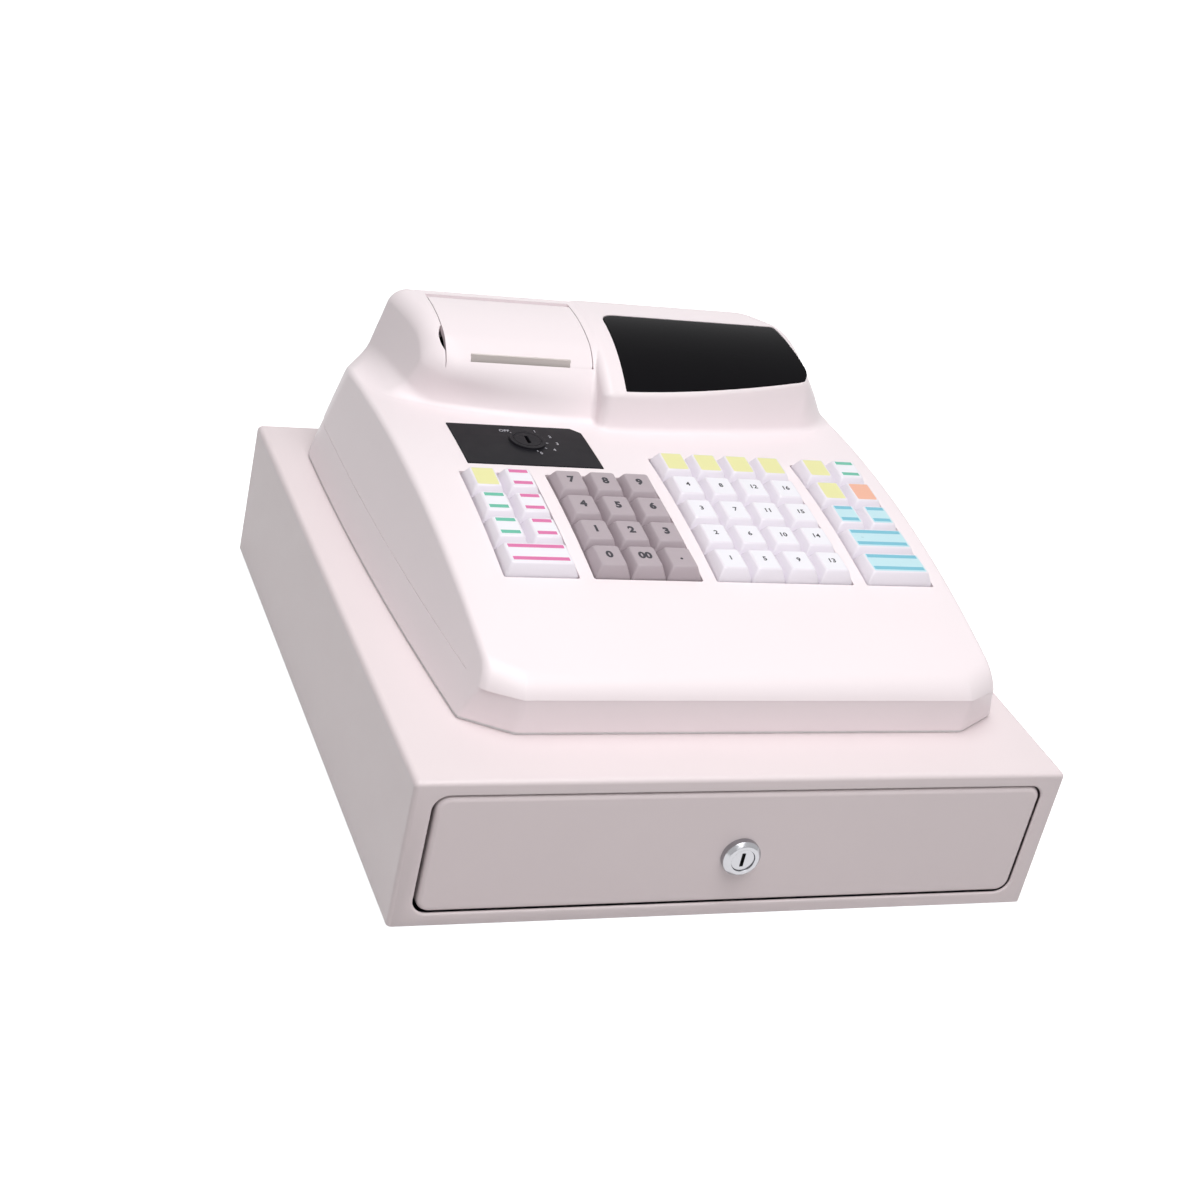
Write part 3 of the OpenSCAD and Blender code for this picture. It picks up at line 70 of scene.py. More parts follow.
# The hood: its arch, and the right half with the display. Here and below, a radius with an ADDED
# part grows by it along its SPAN
HOOD_Y, HOOD_Z, HOOD_R, HOOD_FRONT, HOOD_FOOT_Z, HOOD_REAR_R = 315.7, 72.0, 109.9, 248.6, 140.6, 9.0
BOW_X, BOW_R, DISPLAY_LEAN, DISPLAY_LIP_R = -15.0, 700.0, 7.0, 1.6
FLANK_X, FLANK_SCALE, FLANK_DEEPEST = 118.0, 0.82, 30
FLANK_R, FLANK_R_ADDED, FLANK_SPAN = 4.0, 6.0, (4, 20)
FLARE, FLARE_FADE, FLARE_GROWTH, FLARE_Y = 0.75, 0.0035, 0.006, 262.0
CORNER_POINT, CORNER_NORMAL, CORNER_R = (112, BODY_BACK, 182), (0.72, 0.62, 0.3), 16.0

# The hood's left half with the printer, the step between the halves, and the hood's foot
HOOD_SETBACK, HOOD_DROP = 9.2, 0.8
PRINTER_BOW_X, PRINTER_BOW_R, PRINTER_REACH = -5.0, 350.0, 150
PRINTER_LEAN, PRINTER_RISE, PRINTER_LIP_R = 0.35, 28.0, 13.0
LEFT_POINT, LEFT_TURN, LEFT_LEAN = (BODY_X - 115.6, 262.0, HOOD_FOOT_Z), 10.0, 14.0
LEFT_R, LEFT_R_ADDED, LEFT_SPAN = 8.5, 11.5, (292, 264)
SPLIT_X, SPLIT_R, SPLIT_LAP = -8.5, 5.5, 6.0
STEP_R, STEP_R_ADDED, STEP_SPAN = 0.7, 2.6, (272, 262)
FOOT_R, FOOT_R_ADDED, FOOT_SPAN = 3.0, 10.0, (258, 285)
FOOT_LEFT_SPAN, FOOT_RIGHT_SPAN, FOOT_RIGHT_SHARE = (-96, -118), (118, 132), 0.4

# The lid over the ticket roll, with its hinge, slit, tear blade and the finger notch beside it
LID_X0, LID_X1, LID_FRONT, LID_GAP, LID_CORNER_R = -93.5, -10.5, 271.0, 0.5, 1.0
HINGE_Y, HINGE_Z, HINGE_LAP, BARREL_R = 321.0, 177.071, 0.2, 4.0
PIN_R, PIN_GAP, PIN_LENGTH, EAR_W = 2.0, 0.05, 4, 6
RIM_W, RIM_DROP, RIM_FOOT, RIM_Y = 2, 2.6, 8.5, LID_FRONT + 22
SLIT_W, SLIT_D, SLIT_R, SLIT_OPEN = 57.0, 1.0, 0.8, 3
BLADE_GAP, BLADE_Y, BLADE_Z = 0.2, (LID_FRONT + 0.5, LID_FRONT + 1.9), (164, 170.4)
NOTCH_R, NOTCH_W = 12.0, 3.0
PRINTER_WELL_Z = 153

# The window, its seat and the well under it
WINDOW_X0, WINDOW_X1, WINDOW_FRONT, WINDOW_BACK, WINDOW_T = 4.5, 112.6, 253.0, 312.6, 2.0
WINDOW_SLANT, SLANT_RUN = 0.18, 46.5
WINDOW_R, WINDOW_SHARP_R, WINDOW_EDGE_R, WINDOW_LIFT, WINDOW_GAP = 8.0, 1.0, 0.5, 0.05, 0.3
WINDOW_SEAT_R, WINDOW_SEAT_POINTS, WINDOW_CUT, WINDOW_REACH = 0.8, 13, (140, 195), (-20, 140)
WELL_IN, WELL_FRONT, WELL_FLOOR = 7.0, 16, 150

# The mode switch and its plate: MARKS holds each mark's text and its angle round the switch
PLATE_X0, PLATE_Y0, PLATE_W, PLATE_D, PLATE_CORNER = -96.0, 204.0, 75.0, 44.0, 5.0
PLATE_PROUD, PLATE_DEPTH, PLATE_GAP, PLATE_CUT = 0.4, 0.62, 0.3, (120, 160)
MODE_X, MODE_Y, MODE_RING_R, MODE_CORE_R, MODE_GAP, MODE_CUT = -56.0, 230.0, 10.0, 7.5, 0.1, 20
MARKS = (("OFF", 125), ("1", 62), ("2", 28), ("3", -6), ("4", -40), ("5", -76))
MARK_SIZE, MARK_WEIGHT, MARK_R, MARK_STRETCH, MARK_LIFT = 3.4, 0.0, MODE_RING_R + 3.4, 1.25, 0.03
TICK_R, TICK_W, TICK_Z = (MODE_RING_R + 0.4, MODE_RING_R + 1.6), 0.4, (-0.1, 0.06)

# The keyboard: BLOCKS holds each group's left edge, columns and rows
KEYS_Y0, KEY_TILT = 107.5, 6.333
PITCH_X, PITCH_Y, KEY_GAP = 19.05, 22.0, 0.6
LEFT_X, NUMERIC_X, DEPARTMENT_X, RIGHT_X = -103.0, -56.4, 9.25, 93.95
BLOCKS = [(LEFT_X, 2, 4), (NUMERIC_X, 3, 4), (DEPARTMENT_X, 4, 5), (RIGHT_X, 2, 5)]
KEY_HOLE_GAP, KEY_HOLE_R, KEY_HOLE_Z = 0.6, 1.2, 6

# A key: CAP_LEVELS holds the height, inset and corner radius of each ring of its cap
KEY_H, CAP_FOOT, STEM, STEM_FOOT, STEM_LAP = 6.5, -2.0, 5.0, -11.6, 0.1
CAP_LEVELS = [(CAP_FOOT, 0.0, 1.0), (CAP_FOOT + 2.5, 0.0, 1.0), (KEY_H - 0.6, 2.35, 1.4),
              (KEY_H - 0.2, 2.65, 1.5), (KEY_H, 3.1, 1.6), (KEY_H - 0.05, 4.6, 1.2),
              (KEY_H - 0.12, 6.5, 0.8)]
LABEL_INSET, LABEL_R, LABEL_FOOT, LABEL_TOP = 3.5, 0.7, KEY_H - 0.4, KEY_H + 0.06
BAR_INSET, BAR_D, BAR_PROUD, BARS_Y = 4.2, 2.7, 0.05, (PITCH_Y - KEY_GAP - 6.5, 4.6)
DIGIT_SIZE, DIGIT_WEIGHT, DIGIT_LIFT = 7.0, 0.045, (0.4, KEY_H - 0.06)
NUMBER_SIZE, NUMBER_WEIGHT, NUMBER_LIFT = 4.6, 0.02, (0.3, LABEL_TOP + 0.03)
INK_H = 0.05

# Screw posts, the foot under the body, and the openings in the body's back
SCREW_SPOTS = [(BODY_X + x, y) for x, y in ((-118.0, 88.0), (118.0, 88.0),
                                            (-128.0, 296.0), (128.0, 296.0))]
POST_R, POST_LAP, POST_DROP = 4.0, 4, 1.2
BORE_R, BORE_Z, HEAD_R, HEAD_Z = 1.6, (80, 130), 3.6, BODY_BASE + 2.1
PLINTH_W, PLINTH_Y, PLINTH_FOOT, FLOOR_TOP = 262, (52.5, 306), CASE_TOP + 0.02, BODY_BASE + 1.2
# The dark sheet under the body's foot is painted shadow: it makes the gap between body and case
# show black
SHADOW_SHEET_IN, SHADOW_SHEET_Z, SHADOW_GAP = 1.0, (CASE_TOP + 0.03, BODY_BASE + 1.0), 0.4
REAR_DISPLAY = ((34.8, 300.0, 138.8), (99.2, 345.0, 157.2))
INLET = ((75.3, 320.0, 114.8), (99.7, 345.0, 127.2))

# Softened edges: where they are, and the radius and number of steps of each ROUND
CASE_RIM_X, CASE_RIM_Z, FRAME_FOOT_Z, FRONT_DEPTH = 167.0, 83.0, 6.0, 0.05
LOCK_Z, LOCK_W, LOCK_H, CORE_Z, FEET_Z = 40, 40, 30, 130, 1.0
CASE_RIM_ROUND, OPENING_ROUND, PANEL_ROUND, TRAY_ROUND = (2.4, 4), (1.1, 4), (2.8, 5), (0.5, 2)
SMALL_ROUND, MODE_ROUND, LOCK_ROUND, FEET_ROUND = (0.3, 2), (0.35, 2), (0.25, 2), (0.8, 3)
PANEL_PLAY, PANEL_END_X = 1.0, -100  # the panel is drawn in by the play left of this place

# The meshed fields: their spacing, the room around them, and how far they run past the cuts that
# end them (OUT for a solid, IN for the room inside it)
FINE, MEDIUM, COARSE = 1.3, 2.0, 2.6
GROOVE_STEP, WINDOW_STEP, QUICK_FACTOR = 1.6, 0.9, 1.8
ROOM_X, ROOM_Y = 7, 4
UPPER_Z, LOWER_Z, GROOVE_Z = (97, 186), (80, 113), (94, 114)
WINDOW_ROOM = ((0, 248, 155), (124, 316, 185))
UPPER_OUT, UPPER_IN, LOWER_OUT, LOWER_IN, BASE_OUT = 3.4, 5.7, 3.3, 6.1, 2.6
GROOVE_CORE_H, SHADOW_SHEET_CORE_H = 6, 4

# Tools that reach past the body, and the corners of their large circles
PAST_X, PAST_Y, PAST_LEFT, ABOVE, BELOW = 200, 400, (-110, 0), 200, 70
UPPER_CUT, LOWER_CUT, LID_CUT, SLIT_CUT, NOTCH_CUT, RIM_CUT = 90, 120, 150, 140, 160, 100
NOTCH_CORNERS, RIM_CORNERS, WINDOW_CORNERS, DECK_CORNERS = 64, 360, 720, 2400


def deck_z(y):
    """The height of the deck's surface."""
    return DECK_Z + math.sqrt(DECK_R ** 2 - (y - DECK_Y) ** 2)


TO_METRES = Matrix.Translation((0, FRONT_Y / 1000, 0)) @ Matrix.Scale(0.001, 4)
ON_KEYS = (Matrix.Translation((0, KEYS_Y0, deck_z(KEYS_Y0)))
           @ Matrix.Rotation(math.radians(KEY_TILT), 4, "X"))
ON_MODE = (Matrix.Translation((MODE_X, MODE_Y, deck_z(MODE_Y)))
           @ Matrix.Rotation(math.asin((DECK_Y - MODE_Y) / DECK_R), 4, "X"))


# Materials

TONE_SIZE, GLOSS_SIZE, GLOSS_DRIFT, LEAST_ROUGH = 60.0, 9.0, 0.05, 0.02


def rgb(text):
    """A linear colour from an sRGB hex code."""
    parts = [int(text[i:i + 2], 16) / 255 for i in (0, 2, 4)]
    return [p / 12.92 if p <= 0.04045 else ((p + 0.055) / 1.055) ** 2.4 for p in parts] + [1.0]


def coat(name, colour, rough, grain=0.0, grain_size=0.5, shift=0.04, metal=0.0, stretch=None,
         **sockets):
    """A surface whose tone and roughness drift softly, with a fine grain in its relief.

    grain is the relief's height and grain_size its width. shift is how much the tone drifts.
    """
    material = bpy.data.materials.new(name)
    material.use_nodes = True
    nodes, links = material.node_tree.nodes, material.node_tree.links
    shader = nodes["Principled BSDF"]
    shader.inputs["Metallic"].default_value = metal
    for socket, value in sockets.items():
        shader.inputs[socket.replace("_", " ")].default_value = value
    origin = nodes.new("ShaderNodeTexCoord").outputs["Object"]
    if stretch:
        scaled = nodes.new("ShaderNodeMapping")
        scaled.inputs["Scale"].default_value = stretch
        links.new(origin, scaled.inputs["Vector"])
        origin = scaled.outputs["Vector"]

    def noise(size, detail):
        node = nodes.new("ShaderNodeTexNoise")
        node.inputs["Scale"].default_value = 1000 / size
        node.inputs["Detail"].default_value = detail
        links.new(origin, node.inputs["Vector"])
        return node.outputs["Fac"]

    light = rgb(colour)
    tone = nodes.new("ShaderNodeMix")
    tone.data_type = "RGBA"
    tone.inputs["A"].default_value = [c * (1 - shift) for c in light[:3]] + [1.0]
    tone.inputs["B"].default_value = light
    links.new(noise(TONE_SIZE, 3.0), tone.inputs["Factor"])
    links.new(tone.outputs["Result"], shader.inputs["Base Color"])
    drift = nodes.new("ShaderNodeMapRange")
    drift.inputs["To Min"].default_value = max(rough - GLOSS_DRIFT, LEAST_ROUGH)
    drift.inputs["To Max"].default_value = rough + GLOSS_DRIFT
    links.new(noise(GLOSS_SIZE, 2.0), drift.inputs["Value"])
    links.new(drift.outputs["Result"], shader.inputs["Roughness"])
    if grain:
        bump = nodes.new("ShaderNodeBump")
        bump.inputs["Strength"].default_value = 1.0
        bump.inputs["Distance"].default_value = grain / 1000
        links.new(noise(grain_size, 2.0), bump.inputs["Height"])
        links.new(bump.outputs["Normal"], shader.inputs["Normal"])
    return material


def coats(rows):
    """The coats of a table, by name."""
    return {name: coat(name, **row) for name, row in rows.items()}


LOOK = coats({
    "body_plastic": dict(colour="f5eaed", rough=0.38, grain=0.006, grain_size=0.6, shift=0.02),
    "steel_paint": dict(colour="ecdfe1", rough=0.42, grain=0.012, grain_size=1.1, shift=0.03),
    "zinc": dict(colour="c4c7ca", rough=0.34, grain=0.004, grain_size=1.4, shift=0.18, metal=1.0,
                 stretch=(1.0, 0.12, 1.0)),
    "rubber": dict(colour="1c1c1d", rough=0.8, grain=0.02, grain_size=0.8, shift=0.2),
    "copper": dict(colour="b56a3a", rough=0.36, grain=0.02, grain_size=0.35, shift=0.25, metal=0.9,
                   stretch=(0.05, 1.0, 1.0)),
    "black_plastic": dict(colour="151419", rough=0.46, grain=0.01, grain_size=0.6, shift=0.15,
                          Specular_IOR_Level=0.12),
    "chrome": dict(colour="a9a9ad", rough=0.2, grain=0.002, grain_size=2.0, shift=0.06, metal=1.0),
    "smoked_plastic": dict(colour="0e0d10", rough=0.24, shift=0.2, Specular_IOR_Level=0.05),
    "circuit_board": dict(colour="1f5a3c", rough=0.32, grain=0.015, grain_size=1.6, shift=0.25),
    "paper": dict(colour="f7f6f1", rough=0.8, grain=0.01, grain_size=0.2, stretch=(1.0, 1.0, 6.0)),
    "key_grey": dict(colour="b2a5ab", rough=0.42, grain=0.008, shift=0.05),
    "key_white": dict(colour="efe9f1", rough=0.3, grain=0.004, shift=0.03, Coat_Weight=0.25,
                      Coat_Roughness=0.15),
})
LABEL = {name: coat("label_" + name, colour, rough=0.3, grain=0.002, grain_size=0.4, shift=shift)
         for name, colour, shift in (
             ("white", "f1eff5", 0.02), ("yellow", "ebe8a6", 0.05), ("pink", "dd6fa6", 0.05),
             ("mint", "62bda3", 0.05), ("orange", "f2b59a", 0.05), ("blue", "74bfd4", 0.05),
             ("sky", "c3e6ee", 0.05))}
DETAIL = coats({
    "blade": dict(colour="dcd3cf", rough=0.5, grain=0.003, grain_size=0.8, shift=0.15),
    # seat: the colour of the dark sheet under the body's foot, which is painted shadow for the gap
    # there
    "seat": dict(colour="463f40", rough=0.6, grain=0.01, grain_size=0.8, shift=0.1),
    "ink": dict(colour="2a2730", rough=0.5, grain=0.001, grain_size=0.3, shift=0.1),
    "plate_print": dict(colour="c9c7cf", rough=0.5, grain=0.001, grain_size=0.3, shift=0.1),
})


# Shapes as fields of x, y and z: negative inside, and about a distance near the surface

def meet(a, b, r):
    """The intersection of two fields with an edge of radius r."""
    return np.minimum(-r, np.maximum(a, b)) + np.hypot(np.maximum(r + a, 0), np.maximum(r + b, 0))


def join(a, b, r):
    """The union of two fields with a fillet of radius r."""
    return np.maximum(r, np.minimum(a, b)) - np.hypot(np.maximum(r - a, 0), np.maximum(r - b, 0))


def ramp(value, start, end):
    """A smooth step from 0 at start to 1 at end."""
    t = np.clip((value - start) / (end - start), 0, 1)
    return t * t * (3 - 2 * t)


def plane(x, y, z, point, normal):
    """The distance in front of a plane."""
    n = np.array(normal, float) / np.linalg.norm(normal)
    return (x - point[0]) * n[0] + (y - point[1]) * n[1] + (z - point[2]) * n[2]


def sides(x, y, z):
    """The body's bowed left and right sides."""
    r = SIDE_R - SIDE_SLOPE * (z - BODY_BASE)
    left = np.hypot(x - (BODY_X + SIDE_R - BODY_W / 2), y - SIDE_Y) - r
    right = np.hypot(x - (BODY_X - SIDE_R + BODY_W / 2), y - SIDE_Y) - r
    return np.maximum(left, right) * math.cos(math.atan(SIDE_SLOPE))


def front_wall(x, y, z, inset, slope, facet_slope):
    """The body's front with a facet at either end."""
    turn = math.radians(FACET_TURN)
    field = plane(x, y, z, (0, BODY_FRONT + inset, SEAM_Z), (0, -1, -slope))
    for s in (-1, 1):
        facet = plane(x, y, z, (BODY_X + s * FACET_X, BODY_FRONT + inset, SEAM_Z),
                      (s * math.sin(turn), -math.cos(turn), -facet_slope))
        field = meet(field, facet, FACET_R)
    return field


def back_wall(x, y, z):
    """The body's back, which slopes in towards its foot."""
    slope = plane(x, y, z, (0, BODY_BACK - BASE_IN_BACK, BODY_BASE), (0, BACK_RISE, -BASE_IN_BACK))
    return meet(y - BODY_BACK + 0 * z, slope, BACK_BEND_R)


def back_corners(x, y, z, field):
    """The field with the two facets at its back."""
    turn = math.cos(math.radians(BACK_TURN))
    for s in (-1, 1):
        facet = plane(x, y, z, (BODY_X + s * (BODY_W / 2 - BACK_FACET), BODY_BACK, BODY_BASE),
                      (s * turn, turn, SIDE_SLOPE * turn))
        field = meet(field, facet, BACK_FACET_R)
    return field


def upper_body(x, y, z):
    """The body above the seam without the hood, down to past the seam."""
    deck = np.hypot(y - DECK_Y, z - DECK_Z) - DECK_R
    field = meet(deck, front_wall(x, y, z, 0.0, 0.0, 0.0), NOSE_R)
    field = meet(field, back_wall(x, y, z), UPPER_BACK_R)
    field = meet(field, sides(x, y, z), UPPER_SIDE_R)
    return back_corners(x, y, z, field)


def lower_body(x, y, z):
    """The body below the seam, without a top or a base."""
    slope = (BASE_IN_FRONT - NOSE_TUCK) / (SEAM_Z - BODY_BASE)
    field = front_wall(x, y, z, NOSE_TUCK, slope, FACET_LEAN)
    field = meet(field, back_wall(x, y, z), LOWER_BACK_R)
    field = meet(field, sides(x, y, z), LOWER_SIDE_R)
    return back_corners(x, y, z, field)


def arch(y, z, r):
    """The hood's top: an arch that runs level behind its top line."""
    return np.where(y < HOOD_Y, np.hypot(y - HOOD_Y, z - HOOD_Z) - r, z - HOOD_Z - r)


def display_half(x, y, z):
    """The hood's right half: a bowed front and a flank that flares out downwards."""
    top, rear = arch(y, z, HOOD_R), y - BODY_BACK + 0 * (x + z)
    lean = math.tan(math.radians(DISPLAY_LEAN))
    front = np.hypot(x - BOW_X, y - HOOD_FRONT - BOW_R - lean * (z - HOOD_FOOT_Z)) - BOW_R
    front = front * math.cos(math.atan(lean))
    deep = np.clip(-top, 0, FLANK_DEEPEST)
    flare = (FLARE * deep - FLARE_FADE * deep ** 2) * (1 + FLARE_GROWTH * (y - FLARE_Y))
    flank = (x - FLANK_X - flare) * FLANK_SCALE
    field = meet(meet(top, front, DISPLAY_LIP_R), rear, HOOD_REAR_R)
    field = meet(field, flank, FLANK_R + FLANK_R_ADDED * ramp(deep, *FLANK_SPAN))
    field = meet(field, plane(x, y, z, CORNER_POINT, CORNER_NORMAL), CORNER_R)
    return meet(field, SPLIT_X - x, SPLIT_R)


def printer_half(x, y, z):
    """The hood's left half: lower and set back, its front bowed only at the foot."""
    top, rear = arch(y, z, HOOD_R - HOOD_DROP), y - BODY_BACK + 0 * (x + z)
    reach = np.clip(x - PRINTER_BOW_X, -PRINTER_REACH, PRINTER_REACH)
    bow = PRINTER_BOW_R - np.sqrt(PRINTER_BOW_R ** 2 - reach ** 2)
    bow = bow * (1 - ramp(z, HOOD_FOOT_Z, HOOD_FOOT_Z + PRINTER_RISE))
    front = HOOD_FRONT + HOOD_SETBACK + bow + PRINTER_LEAN * (z - HOOD_FOOT_Z) - y
    front = front * math.cos(math.atan(PRINTER_LEAN))
    turn, lean = math.radians(LEFT_TURN), math.radians(LEFT_LEAN)
    flank = plane(x, y, z, LEFT_POINT, (-math.cos(turn), -math.sin(turn), math.tan(lean)))
    field = meet(meet(top, front, PRINTER_LIP_R), rear, HOOD_REAR_R)
    field = meet(field, flank, LEFT_R + LEFT_R_ADDED * ramp(y, *LEFT_SPAN))
    return np.maximum(field, x - SPLIT_X - SPLIT_LAP)


def hood(x, y, z):
    """Both halves, with a fillet in the step between them that widens at the front."""
    step = STEP_R + STEP_R_ADDED * ramp(y, *STEP_SPAN)
    return join(display_half(x, y, z), printer_half(x, y, z), step)


def upper(x, y, z):
    """The upper housing's outside, with a fillet round the hood that widens at its back."""
    wide = np.maximum(ramp(x, *FOOT_LEFT_SPAN), FOOT_RIGHT_SHARE * ramp(x, *FOOT_RIGHT_SPAN))
    fillet = FOOT_R + FOOT_R_ADDED * wide * ramp(y, *FOOT_SPAN)
    return join(hood(x, y, z), upper_body(x, y, z), fillet)


def upper_hollow(x, y, z):
    """The upper housing's inside."""
    return join(hood(x, y, z) + HOOD_WALL, upper_body(x, y, z) + WALL, INNER_FILLET)


def lower_hollow(x, y, z):
    """The lower housing's inside."""
    return lower_body(x, y, z) + WALL


def upper_outer(x, y, z):
    """The upper housing as a solid that ends past the seam."""
    return np.maximum(upper(x, y, z), SEAM_Z - UPPER_OUT - z)


def upper_inner(x, y, z):
    """The room in the upper housing, which reaches out of the solid's foot."""
    return np.maximum(upper_hollow(x, y, z), SEAM_Z - UPPER_IN - z)


def lower_outer(x, y, z):
    """The lower housing as a solid that ends past its base and the seam."""
    field = np.maximum(lower_body(x, y, z), BODY_BASE - BASE_OUT - z)
    return np.maximum(field, z - SEAM_Z - LOWER_OUT)


def lower_inner(x, y, z):
    """The room in the lower housing, which reaches out of the solid's top."""
    field = np.maximum(lower_hollow(x, y, z), BODY_BASE + WALL - z)
    return np.maximum(field, z - SEAM_Z - LOWER_IN)


def groove_core(x, y, z):
    """What stays inside the groove along the seam."""
    return np.maximum(upper_body(x, y, z) + SEAM_GROOVE_D, np.abs(z - SEAM_Z) - GROOVE_CORE_H)


def seat_core(x, y, z):
    """The lower housing, drawn in by the inset of the dark sheet that paints the shadow under the
    body.
    """
    return np.maximum(lower_body(x, y, z) + SHADOW_SHEET_IN, np.abs(z - BODY_BASE) - SHADOW_SHEET_CORE_H)


def window_field(x, y, z):
    """The window: a bent sheet along the hood's arch with two round corners."""
    left, back = WINDOW_X0 - x, y - WINDOW_BACK
    right = x - WINDOW_X1 - WINDOW_SLANT * (WINDOW_BACK - y)
    front = np.hypot(x - BOW_X, y - WINDOW_FRONT - BOW_R) - BOW_R
    plan = np.maximum(
        np.maximum(meet(left, back, WINDOW_R), meet(right, front, WINDOW_R)),
        np.maximum(meet(left, front, WINDOW_SHARP_R), meet(right, back, WINDOW_SHARP_R)))
    under = HOOD_R - WINDOW_T + WINDOW_LIFT - np.hypot(y - HOOD_Y, z - HOOD_Z)
    return meet(np.maximum(arch(y, z, HOOD_R), under), plan + 0 * z, WINDOW_EDGE_R)


# Meshes

SLOPE_STEP = 0.04  # how far apart a field is read for its slope
PULLS, LEAST_SLOPE, PULL_REACH = 4, 0.2, 0.5  # the reach is a share of the spacing
ON_SURFACE, FACING = 0.03, 0.55  # how near, and how aligned, a face is to a field that shades it
ROUNDED_ANGLE, CREASE_ANGLE = 30, 50  # edges sharper than these are rounded off, or shaded sharp


def gradient(field, points):
    """The field's slope at each point."""
    slope = np.empty_like(points)
    for axis in range(3):
        ahead, behind = points.copy(), points.copy()
        ahead[:, axis] += SLOPE_STEP
        behind[:, axis] -= SLOPE_STEP
        slope[:, axis] = (field(*ahead.T) - field(*behind.T)) / (2 * SLOPE_STEP)
    return slope


def surface(field, low, high, step):
    """A closed mesh of the field's zero level: surface nets, pulled onto the level."""
    step *= 1.0
    count = [int(math.ceil((high[a] - low[a]) / step)) + 1 for a in range(3)]
    axes = [low[a] + step * np.arange(count[a]) for a in range(3)]
    value = field(axes[0][:, None, None], axes[1][None, :, None], axes[2][None, None, :])
    value = np.broadcast_to(value, count)
    inside = value < 0
    low = np.array(low, float)
    cells, spots, quads = [], [], []
    for axis in range(3):
        # Grid edges along this axis that cross the level, and where they cross it
        first = [slice(None)] * 3
        second = [slice(None)] * 3
        first[axis], second[axis] = slice(None, -1), slice(1, None)
        edges = np.argwhere(inside[tuple(first)] != inside[tuple(second)])
        unit = np.eye(3, dtype=int)[axis]
        start = value[tuple(edges.T)]
        share = start / (start - value[tuple((edges + unit).T)])
        spot = low + step * (edges + share[:, None] * unit)
        # A quad round each such edge, between the four cells that share it
        u, v = np.eye(3, dtype=int)[(axis + 1) % 3], np.eye(3, dtype=int)[(axis + 2) % 3]
        around = [edges, edges - u, edges - u - v, edges - v]
        ids = np.stack([np.ravel_multi_index(tuple(c.T), count) for c in around], 1)
        flip = ~inside[tuple(edges.T)]
        ids[flip] = ids[flip][:, ::-1]
        quads.append(ids)
        cells.append(ids.ravel())
        spots.append(np.repeat(spot, 4, axis=0))
    cells, spots, quads = np.concatenate(cells), np.concatenate(spots), np.concatenate(quads)
    # One vertex in each cell, in the middle of its crossings
    index = np.unique(cells, return_inverse=True)[1]
    points = np.stack([np.bincount(index, spots[:, a]) for a in range(3)], 1)
    points /= np.bincount(index)[:, None]
    for _ in range(PULLS):
        slope = gradient(field, points)
        length = np.maximum((slope ** 2).sum(1), LEAST_SLOPE)
        move = slope * (field(*points.T) / length)[:, None]
        reach = np.maximum(np.linalg.norm(move, axis=1) / (PULL_REACH * step), 1)
        points -= move / reach[:, None]
    mesh = bpy.data.meshes.new("surface")
    mesh.from_pydata(points.tolist(), [], index.reshape(-1, 4).tolist())
    mesh.update()
    return mesh


def solid(build):
    """A mesh from a function that fills a bmesh."""
    mesh = bpy.data.meshes.new("solid")
    shape = bmesh.new()
    build(shape)
    bmesh.ops.recalc_face_normals(shape, faces=shape.faces)
    shape.to_mesh(mesh)
    shape.free()
    return mesh


def walls(shape, low, high):
    """Quads between two loops of as many vertices."""
    for i in range(len(low)):
        j = (i + 1) % len(low)
        shape.faces.new((low[i], low[j], high[j], high[i]))


def prism(outline, z0, z1, place=Matrix()):
    """A straight prism over an outline in x and y."""
    def build(shape):
        low = [shape.verts.new(place @ Vector((x, y, z0))) for x, y in outline]
        high = [shape.verts.new(place @ Vector((x, y, z1))) for x, y in outline]
        shape.faces.new(low[::-1])
        shape.faces.new(high)
        walls(shape, low, high)
    return solid(build)


def block(low, high, place=Matrix()):
    """A block between two opposite corners."""
    outline = [(low[0], low[1]), (high[0], low[1]), (high[0], high[1]), (low[0], high[1])]
    return prism(outline, low[2], high[2], place)


def slab(z0, z1, y0=0):
    """A block that reaches past the body on all sides."""
    return block((-PAST_X, y0, z0), (PAST_X, PAST_Y, z1))


def ring(r, count, x=0.0, y=0.0):
    """Points round a circle."""
    turns = [2 * math.pi * i / count for i in range(count)]
    return [(x + r * math.cos(turn), y + r * math.sin(turn)) for turn in turns]


def rod(x0, x1, y, z, r, count=48):
    """A round bar along x."""
    place = Matrix.Translation((0, y, z)) @ Matrix.Rotation(math.radians(90), 4, "Y")
    return prism(ring(r, count), x0, x1, place)


def pin(x, y, z0, z1, r, count=32, place=Matrix()):
    """A round bar along z."""
    return prism(ring(r, count, x, y), z0, z1, place)


def rounded(points, radii, parts=6):
    """An outline whose corners are arcs of the given radii."""
    outline = []
    for i, (corner, r) in enumerate(zip(points, radii)):
        here = Vector(corner)
        if not r:
            outline.append(tuple(here))
            continue
        before = (Vector(points[i - 1]) - here).normalized()
        after = (Vector(points[(i + 1) % len(points)]) - here).normalized()
        half = before.angle(after) / 2
        reach = r / math.tan(half)
        centre = here + (before + after).normalized() * (r / math.sin(half))
        start, end = here + before * reach - centre, here + after * reach - centre
        sweep = start.angle_signed(end)
        for k in range(parts + 1):
            outline.append(tuple(centre + Matrix.Rotation(-sweep * k / parts, 2) @ start))
    return outline


def rectangle(x0, y0, w, d, inset, r, parts=3):
    """A rectangle with round corners, drawn in by an inset."""
    x1, y1 = x0 + w - inset, y0 + d - inset
    x0, y0 = x0 + inset, y0 + inset
    return rounded([(x0, y0), (x1, y0), (x1, y1), (x0, y1)], [r] * 4, parts)


def read_back(thing):
    """An object's mesh as Blender shows it. The object is removed."""
    bpy.context.scene.collection.objects.link(thing)
    bpy.context.view_layer.update()
    graph = bpy.context.evaluated_depsgraph_get()
    mesh = bpy.data.meshes.new_from_object(thing.evaluated_get(graph))
    bpy.data.objects.remove(thing)
    return mesh


